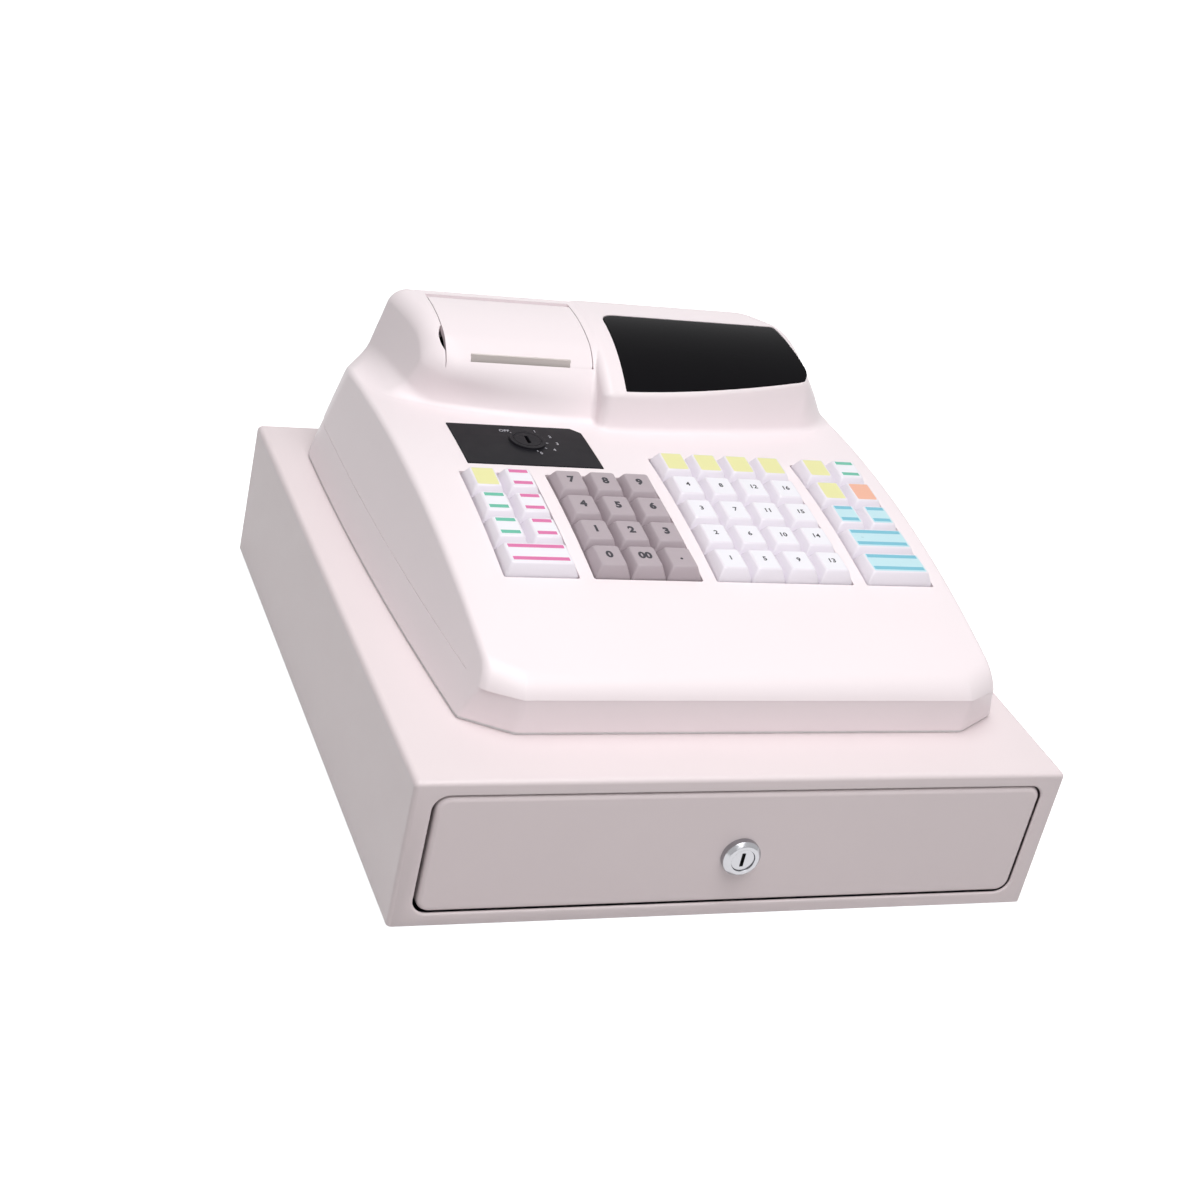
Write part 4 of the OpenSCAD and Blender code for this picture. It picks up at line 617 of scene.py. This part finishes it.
def apply(mesh, modifiers):
    """The mesh as its modifiers leave it. Each is a type and a dictionary of its settings."""
    thing = bpy.data.objects.new("held", mesh)
    for kind, settings in modifiers:
        modifier = thing.modifiers.new(kind, kind)
        for setting, value in settings.items():
            setattr(modifier, setting, value)
    result = read_back(thing)
    bpy.data.meshes.remove(mesh)
    return result


def combine(mesh, operation, *others):
    """The mesh united with, cut by or limited to the others."""
    tools = []
    for other in others:
        tools.append(bpy.data.objects.new("tool", other))
        bpy.context.scene.collection.objects.link(tools[-1])
    result = apply(mesh, [("BOOLEAN", {"operation": operation, "solver": "MANIFOLD",
                                       "object": tool}) for tool in tools])
    for tool, other in zip(tools, others):
        bpy.data.objects.remove(tool)
        bpy.data.meshes.remove(other)
    return result


def shade(mesh, fields=(), angle=30.0):
    """Smooth normals: along the fields on their surfaces, by angle elsewhere."""
    for polygon in mesh.polygons:
        polygon.use_smooth = True
    mesh.set_sharp_from_angle(angle=math.radians(angle))
    if not fields:
        return mesh
    points = np.empty(len(mesh.vertices) * 3)
    mesh.vertices.foreach_get("co", points)
    points = points.reshape(-1, 3)
    corner = np.empty(len(mesh.loops), int)
    mesh.loops.foreach_get("vertex_index", corner)
    size = np.empty(len(mesh.polygons), int)
    mesh.polygons.foreach_get("loop_total", size)
    flat = np.empty(len(mesh.polygons) * 3)
    mesh.polygons.foreach_get("normal", flat)
    flat = np.repeat(flat.reshape(-1, 3), size, axis=0)
    normals = np.empty(len(mesh.loops) * 3)
    mesh.corner_normals.foreach_get("vector", normals)
    normals = normals.reshape(-1, 3)
    for field in fields:
        near = np.abs(field(*points.T)) < ON_SURFACE
        slope = gradient(field, points)
        slope /= np.maximum(np.linalg.norm(slope, axis=1), 1e-6)[:, None]
        along = (slope[corner] * flat).sum(1)
        use = near[corner] & (np.abs(along) > FACING)
        normals[use] = slope[corner][use] * np.sign(along[use])[:, None]
    mesh.normals_split_custom_set(normals.tolist())
    return mesh


def soften(name, passes):
    """A CAD node's mesh, in metres, with its edges rounded off.

    Each pass is a test of an edge's middle in the shared frame, a radius and a number of steps.
    """
    shape = bmesh.new()
    shape.from_mesh(NODES[name].data)
    bmesh.ops.remove_doubles(shape, verts=shape.verts, dist=1e-6)
    bmesh.ops.dissolve_limit(shape, angle_limit=math.radians(1), verts=shape.verts,
                             edges=shape.edges)
    least = math.radians(ROUNDED_ANGLE)
    for test, radius, steps in passes:
        edges = [edge for edge in shape.edges
                 if len(edge.link_faces) == 2 and edge.calc_face_angle() > least
                 and test(*((edge.verts[0].co + edge.verts[1].co) * 500))]
        bmesh.ops.bevel(shape, geom=edges, offset=radius / 1000, offset_type="OFFSET",
                        segments=steps, profile=0.5, affect="EDGES", clamp_overlap=True)
    for face in shape.faces:
        face.smooth = True
    mesh = bpy.data.meshes.new(name)
    shape.to_mesh(mesh)
    shape.free()
    mesh.set_sharp_from_angle(angle=math.radians(CREASE_ANGLE))
    return apply(mesh, [("WEIGHTED_NORMAL", {"weight": 100, "keep_sharp": True})])


def merge(parts):
    """One mesh from pairs of a mesh and a material index."""
    shape = bmesh.new()
    for mesh, index in parts:
        first = len(shape.faces)
        shape.from_mesh(mesh)
        shape.faces.ensure_lookup_table()
        for face in shape.faces[first:]:
            face.material_index = index
        bpy.data.meshes.remove(mesh)
    whole = bpy.data.meshes.new("merged")
    shape.to_mesh(whole)
    shape.free()
    return whole


def lettering(text, size, place, weight):
    """Raised digits or a word, centred on a place."""
    curve = bpy.data.curves.new("text", "FONT")
    curve.body, curve.size, curve.extrude, curve.offset = text, size, INK_H, weight * size
    curve.align_x, curve.align_y, curve.resolution_u = "CENTER", "CENTER", 3
    mesh = read_back(bpy.data.objects.new("text", curve))
    bpy.data.curves.remove(curve)
    mesh.transform(place)
    return mesh


def piece(name, mesh, body, slot, *nodes, materials=None, metres=False):
    """A finished object that rides on a body and may replace nodes.

    The mesh is in millimetres, or with metres=True in metres in the shared frame.
    """
    if not metres:
        mesh.transform(TO_METRES)
    thing = bpy.data.objects.new(name, mesh)
    mesh.name = name
    bpy.context.scene.collection.objects.link(thing)
    if not materials:
        # Clearing the list also resets the faces' indices, so a mesh with several looks keeps it
        mesh.materials.clear()
    for look in materials or [LOOK[slot]]:
        mesh.materials.append(look)
    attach(thing, body)
    if nodes:
        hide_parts(*nodes)


# Housings

def around_body(z0, z1):
    """Opposite corners of a box around the body."""
    x = BODY_W / 2 + ROOM_X
    return (BODY_X - x, BODY_FRONT - ROOM_Y, z0), (BODY_X + x, BODY_BACK + ROOM_Y, z1)


def hood_cuts():
    """The opening for the lid with its hinge's bearings, and the finger notch."""
    x0, x1 = LID_X0 - LID_GAP, LID_X1 + LID_GAP
    bearing = PIN_LENGTH + LID_GAP
    back = HINGE_Y + BARREL_R + 2 * LID_GAP
    return [
        block((x0, LID_FRONT - LID_GAP, PRINTER_WELL_Z), (x1, HINGE_Y, ABOVE)),
        block((x0, HINGE_Y - HINGE_LAP, HINGE_Z), (x1, back, ABOVE)),
        rod(x0, x1, HINGE_Y, HINGE_Z, BARREL_R + LID_GAP),
        rod(x0 - bearing, x1 + bearing, HINGE_Y, HINGE_Z, PIN_R + PIN_GAP),
        pin(LID_X0 + NOTCH_R - NOTCH_W, LID_FRONT + NOTCH_R, NOTCH_CUT, ABOVE, NOTCH_R,
            NOTCH_CORNERS),
    ]


def window_cuts():
    """The window's seat, a gap wider than the window, and the well under it."""
    x0, back = WINDOW_X0 - WINDOW_GAP, WINDOW_BACK + WINDOW_GAP
    x1 = WINDOW_X1 + SLANT_RUN * WINDOW_SLANT + WINDOW_GAP
    outline = [(x, WINDOW_FRONT + BOW_R - WINDOW_GAP - math.sqrt(BOW_R ** 2 - (x - BOW_X) ** 2))
               for x in np.linspace(x0, x1, WINDOW_SEAT_POINTS)]
    outline += [(WINDOW_X1 + WINDOW_GAP, back), (x0, back)]
    r = WINDOW_R + WINDOW_GAP
    radii = [WINDOW_SEAT_R] + [0] * (WINDOW_SEAT_POINTS - 2) + [r, WINDOW_SEAT_R, r]
    seat = combine(prism(rounded(outline, radii), *WINDOW_CUT), "DIFFERENCE",
                   rod(*WINDOW_REACH, HOOD_Y, HOOD_Z, HOOD_R - WINDOW_T, WINDOW_CORNERS))
    well = block((WINDOW_X0 + WELL_IN, WINDOW_FRONT + WELL_FRONT, WELL_FLOOR),
                 (WINDOW_X1 - WELL_IN, WINDOW_BACK - WELL_IN, WINDOW_CUT[1]))
    return [seat, well]


def plate_recess():
    """The recess for the mode switch's plate, whose floor follows the deck."""
    x0, y0 = PLATE_X0 - PLATE_GAP, PLATE_Y0 - PLATE_GAP
    x1, y1 = PLATE_X0 + PLATE_W, PLATE_Y0 + PLATE_D
    outline = [(x0, y0), (x1 + PLATE_GAP, y0), (x1 + PLATE_GAP, y1 - PLATE_CORNER),
               (x1 - PLATE_CORNER, y1 + PLATE_GAP), (x0, y1 + PLATE_GAP)]
    return combine(prism(outline, *PLATE_CUT), "DIFFERENCE",
                   rod(*PAST_LEFT, DECK_Y, DECK_Z, DECK_R - PLATE_DEPTH, DECK_CORNERS))


def key_windows():
    """The openings that the groups of keys stand in."""
    cuts = []
    for x, columns, rows in BLOCKS:
        outline = rectangle(x, 0, columns * PITCH_X, rows * PITCH_Y, -KEY_HOLE_GAP, KEY_HOLE_R, 4)
        cuts.append(prism(outline, -KEY_HOLE_Z, KEY_HOLE_Z, ON_KEYS))
    return cuts


def make_upper():
    """The upper housing. Returns its bare shell, which the lid is cut from."""
    box = around_body(*UPPER_Z)
    shell = combine(surface(upper_outer, *box, FINE), "DIFFERENCE",
                    surface(upper_inner, *box, COARSE))
    base = shell.copy()
    ears = [rod(x, x + EAR_W, HINGE_Y, HINGE_Z - HINGE_LAP, BARREL_R)
            for x in (LID_X0 - LID_GAP - EAR_W, LID_X1 + LID_GAP)]
    posts = [pin(x, y, SEAM_Z + POST_LAP, deck_z(y) - POST_DROP, POST_R) for x, y in SCREW_SPOTS]
    shell = combine(shell, "UNION", *ears, *posts)
    cuts = [slab(UPPER_CUT, SEAM_Z), plate_recess(),
            pin(0, 0, -MODE_CUT, MODE_CUT, MODE_CORE_R + MODE_GAP, 48, ON_MODE),
            block(*REAR_DISPLAY), block(*INLET)]
    shell = combine(shell, "DIFFERENCE", *cuts, *key_windows(), *window_cuts(), *hood_cuts())
    band = slab(SEAM_Z - SEAM_GROOVE_LAP, SEAM_Z + SEAM_GROOVE_H, SEAM_GROOVE_Y)
    groove = combine(band, "DIFFERENCE",
                     surface(groove_core, *around_body(*GROOVE_Z), GROOVE_STEP))
    shell = shade(combine(shell, "DIFFERENCE", groove), [upper, upper_hollow])
    piece("upper_shell", shell, "case", "body_plastic", "upper_housing")
    return base


def make_lower():
    """The lower housing, and a dark sheet under its foot that paints the shadow in the gap below
    it.
    """
    box = around_body(*LOWER_Z)
    shell = combine(surface(lower_outer, *box, FINE), "DIFFERENCE",
                    surface(lower_inner, *box, MEDIUM))
    shell = combine(shell, "DIFFERENCE", slab(SEAM_Z, LOWER_CUT),
                    slab(BELOW, BODY_BASE + SHADOW_GAP))
    plinth = block((BODY_X - PLINTH_W / 2, PLINTH_Y[0], PLINTH_FOOT),
                   (BODY_X + PLINTH_W / 2, PLINTH_Y[1], FLOOR_TOP))
    posts = [pin(x, y, FLOOR_TOP, SEAM_Z + POST_LAP, POST_R) for x, y in SCREW_SPOTS]
    shell = combine(shell, "UNION", plinth, *posts)
    bores = [pin(x, y, *BORE_Z, BORE_R) for x, y in SCREW_SPOTS]
    heads = [pin(x, y, BORE_Z[0], HEAD_Z, HEAD_R) for x, y in SCREW_SPOTS]
    shell = shade(combine(shell, "DIFFERENCE", *bores, *heads), [lower_body, lower_hollow])
    piece("lower_shell", shell, "case", "body_plastic", "lower_housing")
    # A dark sheet in the gap under the body's foot: painted shadow, not a part of the object
    seat = combine(surface(seat_core, *box, MEDIUM), "INTERSECT", slab(*SHADOW_SHEET_Z))
    piece("painted_shadow_sheet", shade(seat), "case", "rubber", materials=[DETAIL["seat"]])


def make_lid(base):
    """The lid, cut from the bare shell, with rims, a hinge barrel and a slit with its blade."""
    corners = [(LID_X0, LID_FRONT), (LID_X1, LID_FRONT), (LID_X1, HINGE_Y), (LID_X0, HINGE_Y)]
    outline = rounded(corners, [LID_CORNER_R, LID_CORNER_R, 0, 0])
    lid = combine(base, "INTERSECT", prism(outline, LID_CUT, ABOVE))
    r = HOOD_R - HOOD_DROP
    rims = []
    for x in (LID_X0, LID_X1 - RIM_W):
        rim = combine(rod(x, x + RIM_W, HOOD_Y, HOOD_Z, r - RIM_DROP, RIM_CORNERS), "INTERSECT",
                      block((x, RIM_Y, RIM_CUT), (x + RIM_W, HINGE_Y, ABOVE)))
        under = rod(*PAST_LEFT, HOOD_Y, HOOD_Z, r - RIM_FOOT, RIM_CORNERS)
        rims.append(combine(rim, "DIFFERENCE", under))
    barrel = rod(LID_X0, LID_X1, HINGE_Y, HINGE_Z, BARREL_R)
    pins = rod(LID_X0 - PIN_LENGTH, LID_X1 + PIN_LENGTH, HINGE_Y, HINGE_Z, PIN_R)
    lid = combine(lid, "UNION", *rims, barrel, pins)
    middle = (LID_X0 + LID_X1) / 2
    x0, x1 = middle - SLIT_W / 2, middle + SLIT_W / 2
    y0, y1 = LID_FRONT - SLIT_OPEN, LID_FRONT + SLIT_D
    slit = rounded([(x0, y0), (x1, y0), (x1, y1), (x0, y1)], [0, 0, SLIT_R, SLIT_R])
    lid = combine(lid, "DIFFERENCE", prism(slit, SLIT_CUT, ABOVE))
    piece("ticket_lid", shade(lid, [upper]), "cover", "body_plastic", "printer_cover")
    blade = block((x0 + BLADE_GAP, BLADE_Y[0], BLADE_Z[0]),
                  (x1 - BLADE_GAP, BLADE_Y[1], BLADE_Z[1]))
    piece("tear_blade", blade, "cover", "zinc", materials=[DETAIL["blade"]])


def make_window():
    mesh = surface(window_field, *WINDOW_ROOM, WINDOW_STEP)
    piece("window_lens", shade(mesh, [window_field]), "case", "smoked_plastic", "display_window")


# Keys

CAP, BACK, FACE, INK = range(4)  # a key's material indices


def cap(x0, y0, w, d):
    """A key cap with a dished top, at its place on the keyboard."""
    def build(shape):
        loops = [[shape.verts.new((x, y, z)) for x, y in rectangle(x0, y0, w, d, inset, r)]
                 for z, inset, r in CAP_LEVELS]
        shape.faces.new(loops[0][::-1])
        shape.faces.new(loops[-1])
        for low, high in zip(loops, loops[1:]):
            walls(shape, low, high)
    return solid(build)


def key(block_x, i, j, columns, kind, text):
    """One key's meshes with their material indices, at column i and row j of a block.

    A digit stands on the bare cap. Other kinds have a label: plain, with bars or with a number.
    """
    x0, y0 = block_x + i * PITCH_X + KEY_GAP / 2, j * PITCH_Y + KEY_GAP / 2
    w, d = columns * PITCH_X - KEY_GAP, PITCH_Y - KEY_GAP
    x, y = x0 + w / 2, y0 + d / 2
    parts = [(cap(x0, y0, w, d), CAP)]
    for k in range(columns):
        stem = block_x + (i + k + 0.5) * PITCH_X
        parts.append((block((stem - STEM / 2, y - STEM / 2, STEM_FOOT),
                            (stem + STEM / 2, y + STEM / 2, CAP_FOOT + STEM_LAP)), CAP))
    if kind == "digit":
        place = Matrix.Translation((x, y + DIGIT_LIFT[0], DIGIT_LIFT[1]))
        parts.append((lettering(text, DIGIT_SIZE, place, DIGIT_WEIGHT), INK))
        return parts
    label = prism(rectangle(x0, y0, w, d, LABEL_INSET, LABEL_R), LABEL_FOOT, LABEL_TOP)
    parts.append((label, FACE if kind == "plain" else BACK))
    if kind == "bars":
        for shift in BARS_Y:
            bar = block((x0 + BAR_INSET, y0 + shift, LABEL_FOOT),
                        (x0 + w - BAR_INSET, y0 + shift + BAR_D, LABEL_TOP + BAR_PROUD))
            parts.append((bar, FACE))
    if kind == "number":
        place = Matrix.Translation((x, y + NUMBER_LIFT[0], NUMBER_LIFT[1]))
        parts.append((lettering(text, NUMBER_SIZE, place, NUMBER_WEIGHT), INK))
    return parts


def keycaps(node, slot, parts, looks):
    """The caps of a node's keys as one piece."""
    mesh = merge(parts)
    mesh.transform(ON_KEYS)
    piece("cap_" + node, shade(mesh, angle=35), node, slot, node, materials=looks)


def plain_keys(node, slot, colour, keys):
    """Keys that share a label colour."""
    back = LABEL["sky" if colour == "blue" else "white"]
    parts = [part for each in keys for part in key(*each)]
    keycaps(node, slot, parts, [LOOK[slot], back, LABEL[colour], DETAIL["ink"]])


def mixed_keys(node, block_x, i, first, colours):
    """A column of white keys with a label colour each, from the row named first."""
    looks = [LOOK["key_white"], LABEL["white"], LABEL["sky"]]
    parts = []
    for k, colour in enumerate(colours):
        kind = "plain" if colour in ("yellow", "orange") else "bars"
        indices = {CAP: 0, BACK: 2 if colour == "blue" else 1, FACE: len(looks)}
        parts += [(mesh, indices[index])
                  for mesh, index in key(block_x, i, first + k, 1, kind, "")]
        looks.append(LABEL[colour])
    keycaps(node, "key_white", parts, looks)


def make_keys():
    numeric = {"0": (0, 0, "0"), "00": (1, 0, "00"), "point": (2, 0, ".")}
    numeric.update({str(n): ((n - 1) % 3, (n + 2) // 3, str(n)) for n in range(1, 10)})
    for name, (i, j, text) in numeric.items():
        plain_keys("key_" + name, "key_grey", "white", [(NUMERIC_X, i, j, 1, "digit", text)])
    for i in range(4):
        column = [(DEPARTMENT_X, i, j, 1, "number", str(4 * i + j + 1)) for j in range(4)]
        column.append((DEPARTMENT_X, i, 4, 1, "plain", ""))
        plain_keys("department_keys_%d" % (i + 1), "key_white", "yellow", column)
    plain_keys("left_wide_key", "key_white", "pink", [(LEFT_X, 0, 0, 2, "bars", "")])
    mixed_keys("left_keys_1", LEFT_X, 0, 1, ("mint", "mint", "yellow"))
    mixed_keys("left_keys_2", LEFT_X, 1, 1, ("pink", "pink", "pink"))
    mixed_keys("right_keys_1", RIGHT_X, 0, 2, ("blue", "yellow", "yellow"))
    mixed_keys("right_keys_2", RIGHT_X, 1, 2, ("blue", "orange", "mint"))
    plain_keys("right_wide_key_1", "key_white", "blue", [(RIGHT_X, 0, 1, 2, "bars", "")])
    plain_keys("right_wide_key_2", "key_white", "blue", [(RIGHT_X, 0, 0, 2, "bars", "")])


# Switch, lock and drawer: CAD nodes with softened edges

def anywhere(x, y, z):
    return True


def before_case(x, y, z):
    return y < FRONT_Y


def on_front(x, y, z):
    return y < FRONT_Y + FRONT_DEPTH


def case_rim(x, y, z):
    return on_front(x, y, z) and (abs(x) > CASE_RIM_X or z > CASE_RIM_Z)


def case_opening(x, y, z):
    return on_front(x, y, z) and not case_rim(x, y, z) and z > FRAME_FOOT_Z


def off_lock(x, y, z):
    """On the front, but not at the edge of the lock's hole."""
    return on_front(x, y, z) and (abs(x) > LOCK_W / 2 or abs(z - LOCK_Z) > LOCK_H / 2)


def soft_piece(name, body, slot, node, *passes):
    """A piece that replaces a CAD node by the same form with softened edges."""
    piece(name, soften(node, passes), body, slot, node, metres=True)


def make_mode_switch():
    parts = [(soften("mode_plate", [(anywhere, *SMALL_ROUND)]), 0)]
    for text, turn in MARKS:
        a = math.radians(turn)
        spot = (MARK_R * math.cos(a) * MARK_STRETCH, MARK_R * math.sin(a), PLATE_PROUD + MARK_LIFT)
        mark = lettering(text, MARK_SIZE, ON_MODE @ Matrix.Translation(spot), MARK_WEIGHT)
        tick = block((TICK_R[0], -TICK_W / 2, PLATE_PROUD + TICK_Z[0]),
                     (TICK_R[1], TICK_W / 2, PLATE_PROUD + TICK_Z[1]),
                     ON_MODE @ Matrix.Rotation(a, 4, "Z"))
        for mesh in (mark, tick):
            mesh.transform(TO_METRES)
            parts.append((mesh, 1))
    whole = merge(parts)
    for polygon in whole.polygons:
        polygon.use_smooth = polygon.material_index == 0
    piece("mode_panel", whole, "case", "black_plastic", "mode_plate",
          materials=[LOOK["black_plastic"], DETAIL["plate_print"]], metres=True)
    soft_piece("mode_core", "mode_switch", "black_plastic", "mode_cylinder",
               (lambda x, y, z: z > CORE_Z, *MODE_ROUND))


def make_drawer():
    soft_piece("case_cover", "case", "steel_paint", "drawer_case",
               (case_rim, *CASE_RIM_ROUND), (case_opening, *OPENING_ROUND))
    panel = soften("drawer_front", [(off_lock, *PANEL_ROUND)])
    for vertex in panel.vertices:
        if vertex.co.x < PANEL_END_X / 1000:
            vertex.co.x += PANEL_PLAY / 1000
    piece("front_panel", panel, "drawer", "steel_paint", "drawer_front", metres=True)
    soft_piece("coin_tray", "drawer", "black_plastic", "cash_tray", (anywhere, *TRAY_ROUND))
    for n in range(1, 5):
        soft_piece("note_clip_%d" % n, "clip_%d" % n, "black_plastic", "bill_clip_%d" % n,
                   (anywhere, *SMALL_ROUND))
    soft_piece("lock_bezel", "drawer", "chrome", "lock_barrel", (before_case, *SMALL_ROUND))
    soft_piece("lock_core", "lock", "chrome", "lock_cylinder", (before_case, *LOCK_ROUND))
    soft_piece("feet", "case", "rubber", "rubber_feet",
               (lambda x, y, z: z < FEET_Z, *FEET_ROUND))


def dress_nodes():
    """Give the CAD nodes that still show the look of their slot."""
    slots = {part["node"]: part["material_slot"] for part in frame["record"]["subparts"]}
    for name, node in NODES.items():
        if not node.hide_render:
            node.data.materials.clear()
            node.data.materials.append(LOOK[slots[name]])


# Camera and stage, with places and sizes in metres

CAMERA_PLACE = (-0.459, -0.924, 0.6103)
CAMERA_RIGHT = (0.92442, -0.32011, 0.20733)
CAMERA_DOWN = (0.01816, -0.50606, -0.86231)
CAMERA_AHEAD = (0.38096, 0.80090, -0.46200)
SENSOR_W, LENS = 36, 65.7725  # in millimetres
FLOOR_R, FLOOR_GREY, FLOOR_SHOWN, FLOOR_GLOW = 4.0, "a9a7a7", 0.9, 0.78
WORLD_LIGHT, WORLD_SHOWN = 0.3, 1.0
LAMP_TARGET = (0, 0, 0.1)
LAMPS = {  # place, power in watts and diameter
    "top_lamp": ((-0.25, 0.1, 2.1), 12, 1.3),
    "key_lamp": ((-0.05, -0.48, 0.97), 5.6, 0.8),
    "front_lamp": ((-0.3, -1.8, 1.1), 2.0, 1.0),
}


def make_camera():
    data = bpy.data.cameras.new("camera")
    data.sensor_fit = "HORIZONTAL"
    data.sensor_width = SENSOR_W
    data.lens = LENS
    data.clip_start = 0.05
    camera = bpy.data.objects.new("camera", data)
    rows = [[CAMERA_RIGHT[i], -CAMERA_DOWN[i], -CAMERA_AHEAD[i], CAMERA_PLACE[i]]
            for i in range(3)]
    camera.matrix_world = Matrix(rows + [[0, 0, 0, 1]])
    bpy.context.scene.collection.objects.link(camera)
    bpy.context.scene.camera = camera


def seen_directly(nodes, links):
    """1 where the camera, a mirror or glass looks straight at the surface."""
    path = nodes.new("ShaderNodeLightPath")
    total = path.outputs["Is Camera Ray"]
    for name in ("Is Glossy Ray", "Is Transmission Ray"):
        both = nodes.new("ShaderNodeMath")
        both.operation = "MAXIMUM"
        links.new(total, both.inputs[0])
        links.new(path.outputs[name], both.inputs[1])
        total = both.outputs[0]
    return total


def pick_shader(nodes, links, lighting, seen, target):
    """Use one shader for lighting the scene and another where it is seen directly."""
    pick = nodes.new("ShaderNodeMixShader")
    links.new(seen_directly(nodes, links), pick.inputs[0])
    links.new(lighting.outputs[0], pick.inputs[1])
    links.new(seen.outputs[0], pick.inputs[2])
    links.new(pick.outputs[0], target.inputs["Surface"])


def make_floor():
    """A disc that lights the object as grey, and is seen as white with the object's shadow."""
    def build(shape):
        shape.faces.new([shape.verts.new((x, y, 0)) for x, y in ring(FLOOR_R, 48)])
    floor = bpy.data.objects.new("floor", solid(build))
    bpy.context.scene.collection.objects.link(floor)
    material = bpy.data.materials.new("floor")
    material.use_nodes = True
    nodes, links = material.node_tree.nodes, material.node_tree.links
    nodes.remove(nodes["Principled BSDF"])
    matt, bright = nodes.new("ShaderNodeBsdfDiffuse"), nodes.new("ShaderNodeBsdfDiffuse")
    glow, both = nodes.new("ShaderNodeEmission"), nodes.new("ShaderNodeAddShader")
    matt.inputs["Color"].default_value = rgb(FLOOR_GREY)
    bright.inputs["Color"].default_value = (FLOOR_SHOWN, FLOOR_SHOWN, FLOOR_SHOWN, 1)
    glow.inputs["Strength"].default_value = FLOOR_GLOW
    links.new(bright.outputs[0], both.inputs[0])
    links.new(glow.outputs[0], both.inputs[1])
    pick_shader(nodes, links, matt, both, nodes["Material Output"])
    floor.data.materials.append(material)


def make_world():
    """A dim white sky for the light, seen as plain white."""
    world = bpy.data.worlds.new("studio")
    bpy.context.scene.world = world
    world.use_nodes = True
    nodes, links = world.node_tree.nodes, world.node_tree.links
    light, seen = nodes["Background"], nodes.new("ShaderNodeBackground")
    for shader, strength in ((light, WORLD_LIGHT), (seen, WORLD_SHOWN)):
        shader.inputs["Color"].default_value = (1, 1, 1, 1)
        shader.inputs["Strength"].default_value = strength
    pick_shader(nodes, links, light, seen, nodes["World Output"])


def make_lamps():
    for name, (place, power, size) in LAMPS.items():
        data = bpy.data.lights.new(name, "AREA")
        data.shape, data.size, data.energy = "DISK", size, power
        lamp = bpy.data.objects.new(name, data)
        aim = (Vector(LAMP_TARGET) - Vector(place)).to_track_quat("-Z", "Y")
        lamp.matrix_world = Matrix.Translation(place) @ aim.to_matrix().to_4x4()
        bpy.context.scene.collection.objects.link(lamp)


upper_base = make_upper()
make_lower()
make_lid(upper_base)
make_window()
make_keys()
make_mode_switch()
make_drawer()
dress_nodes()

make_camera()
make_floor()
make_world()
make_lamps()
bpy.context.scene.view_settings.view_transform = "Standard"
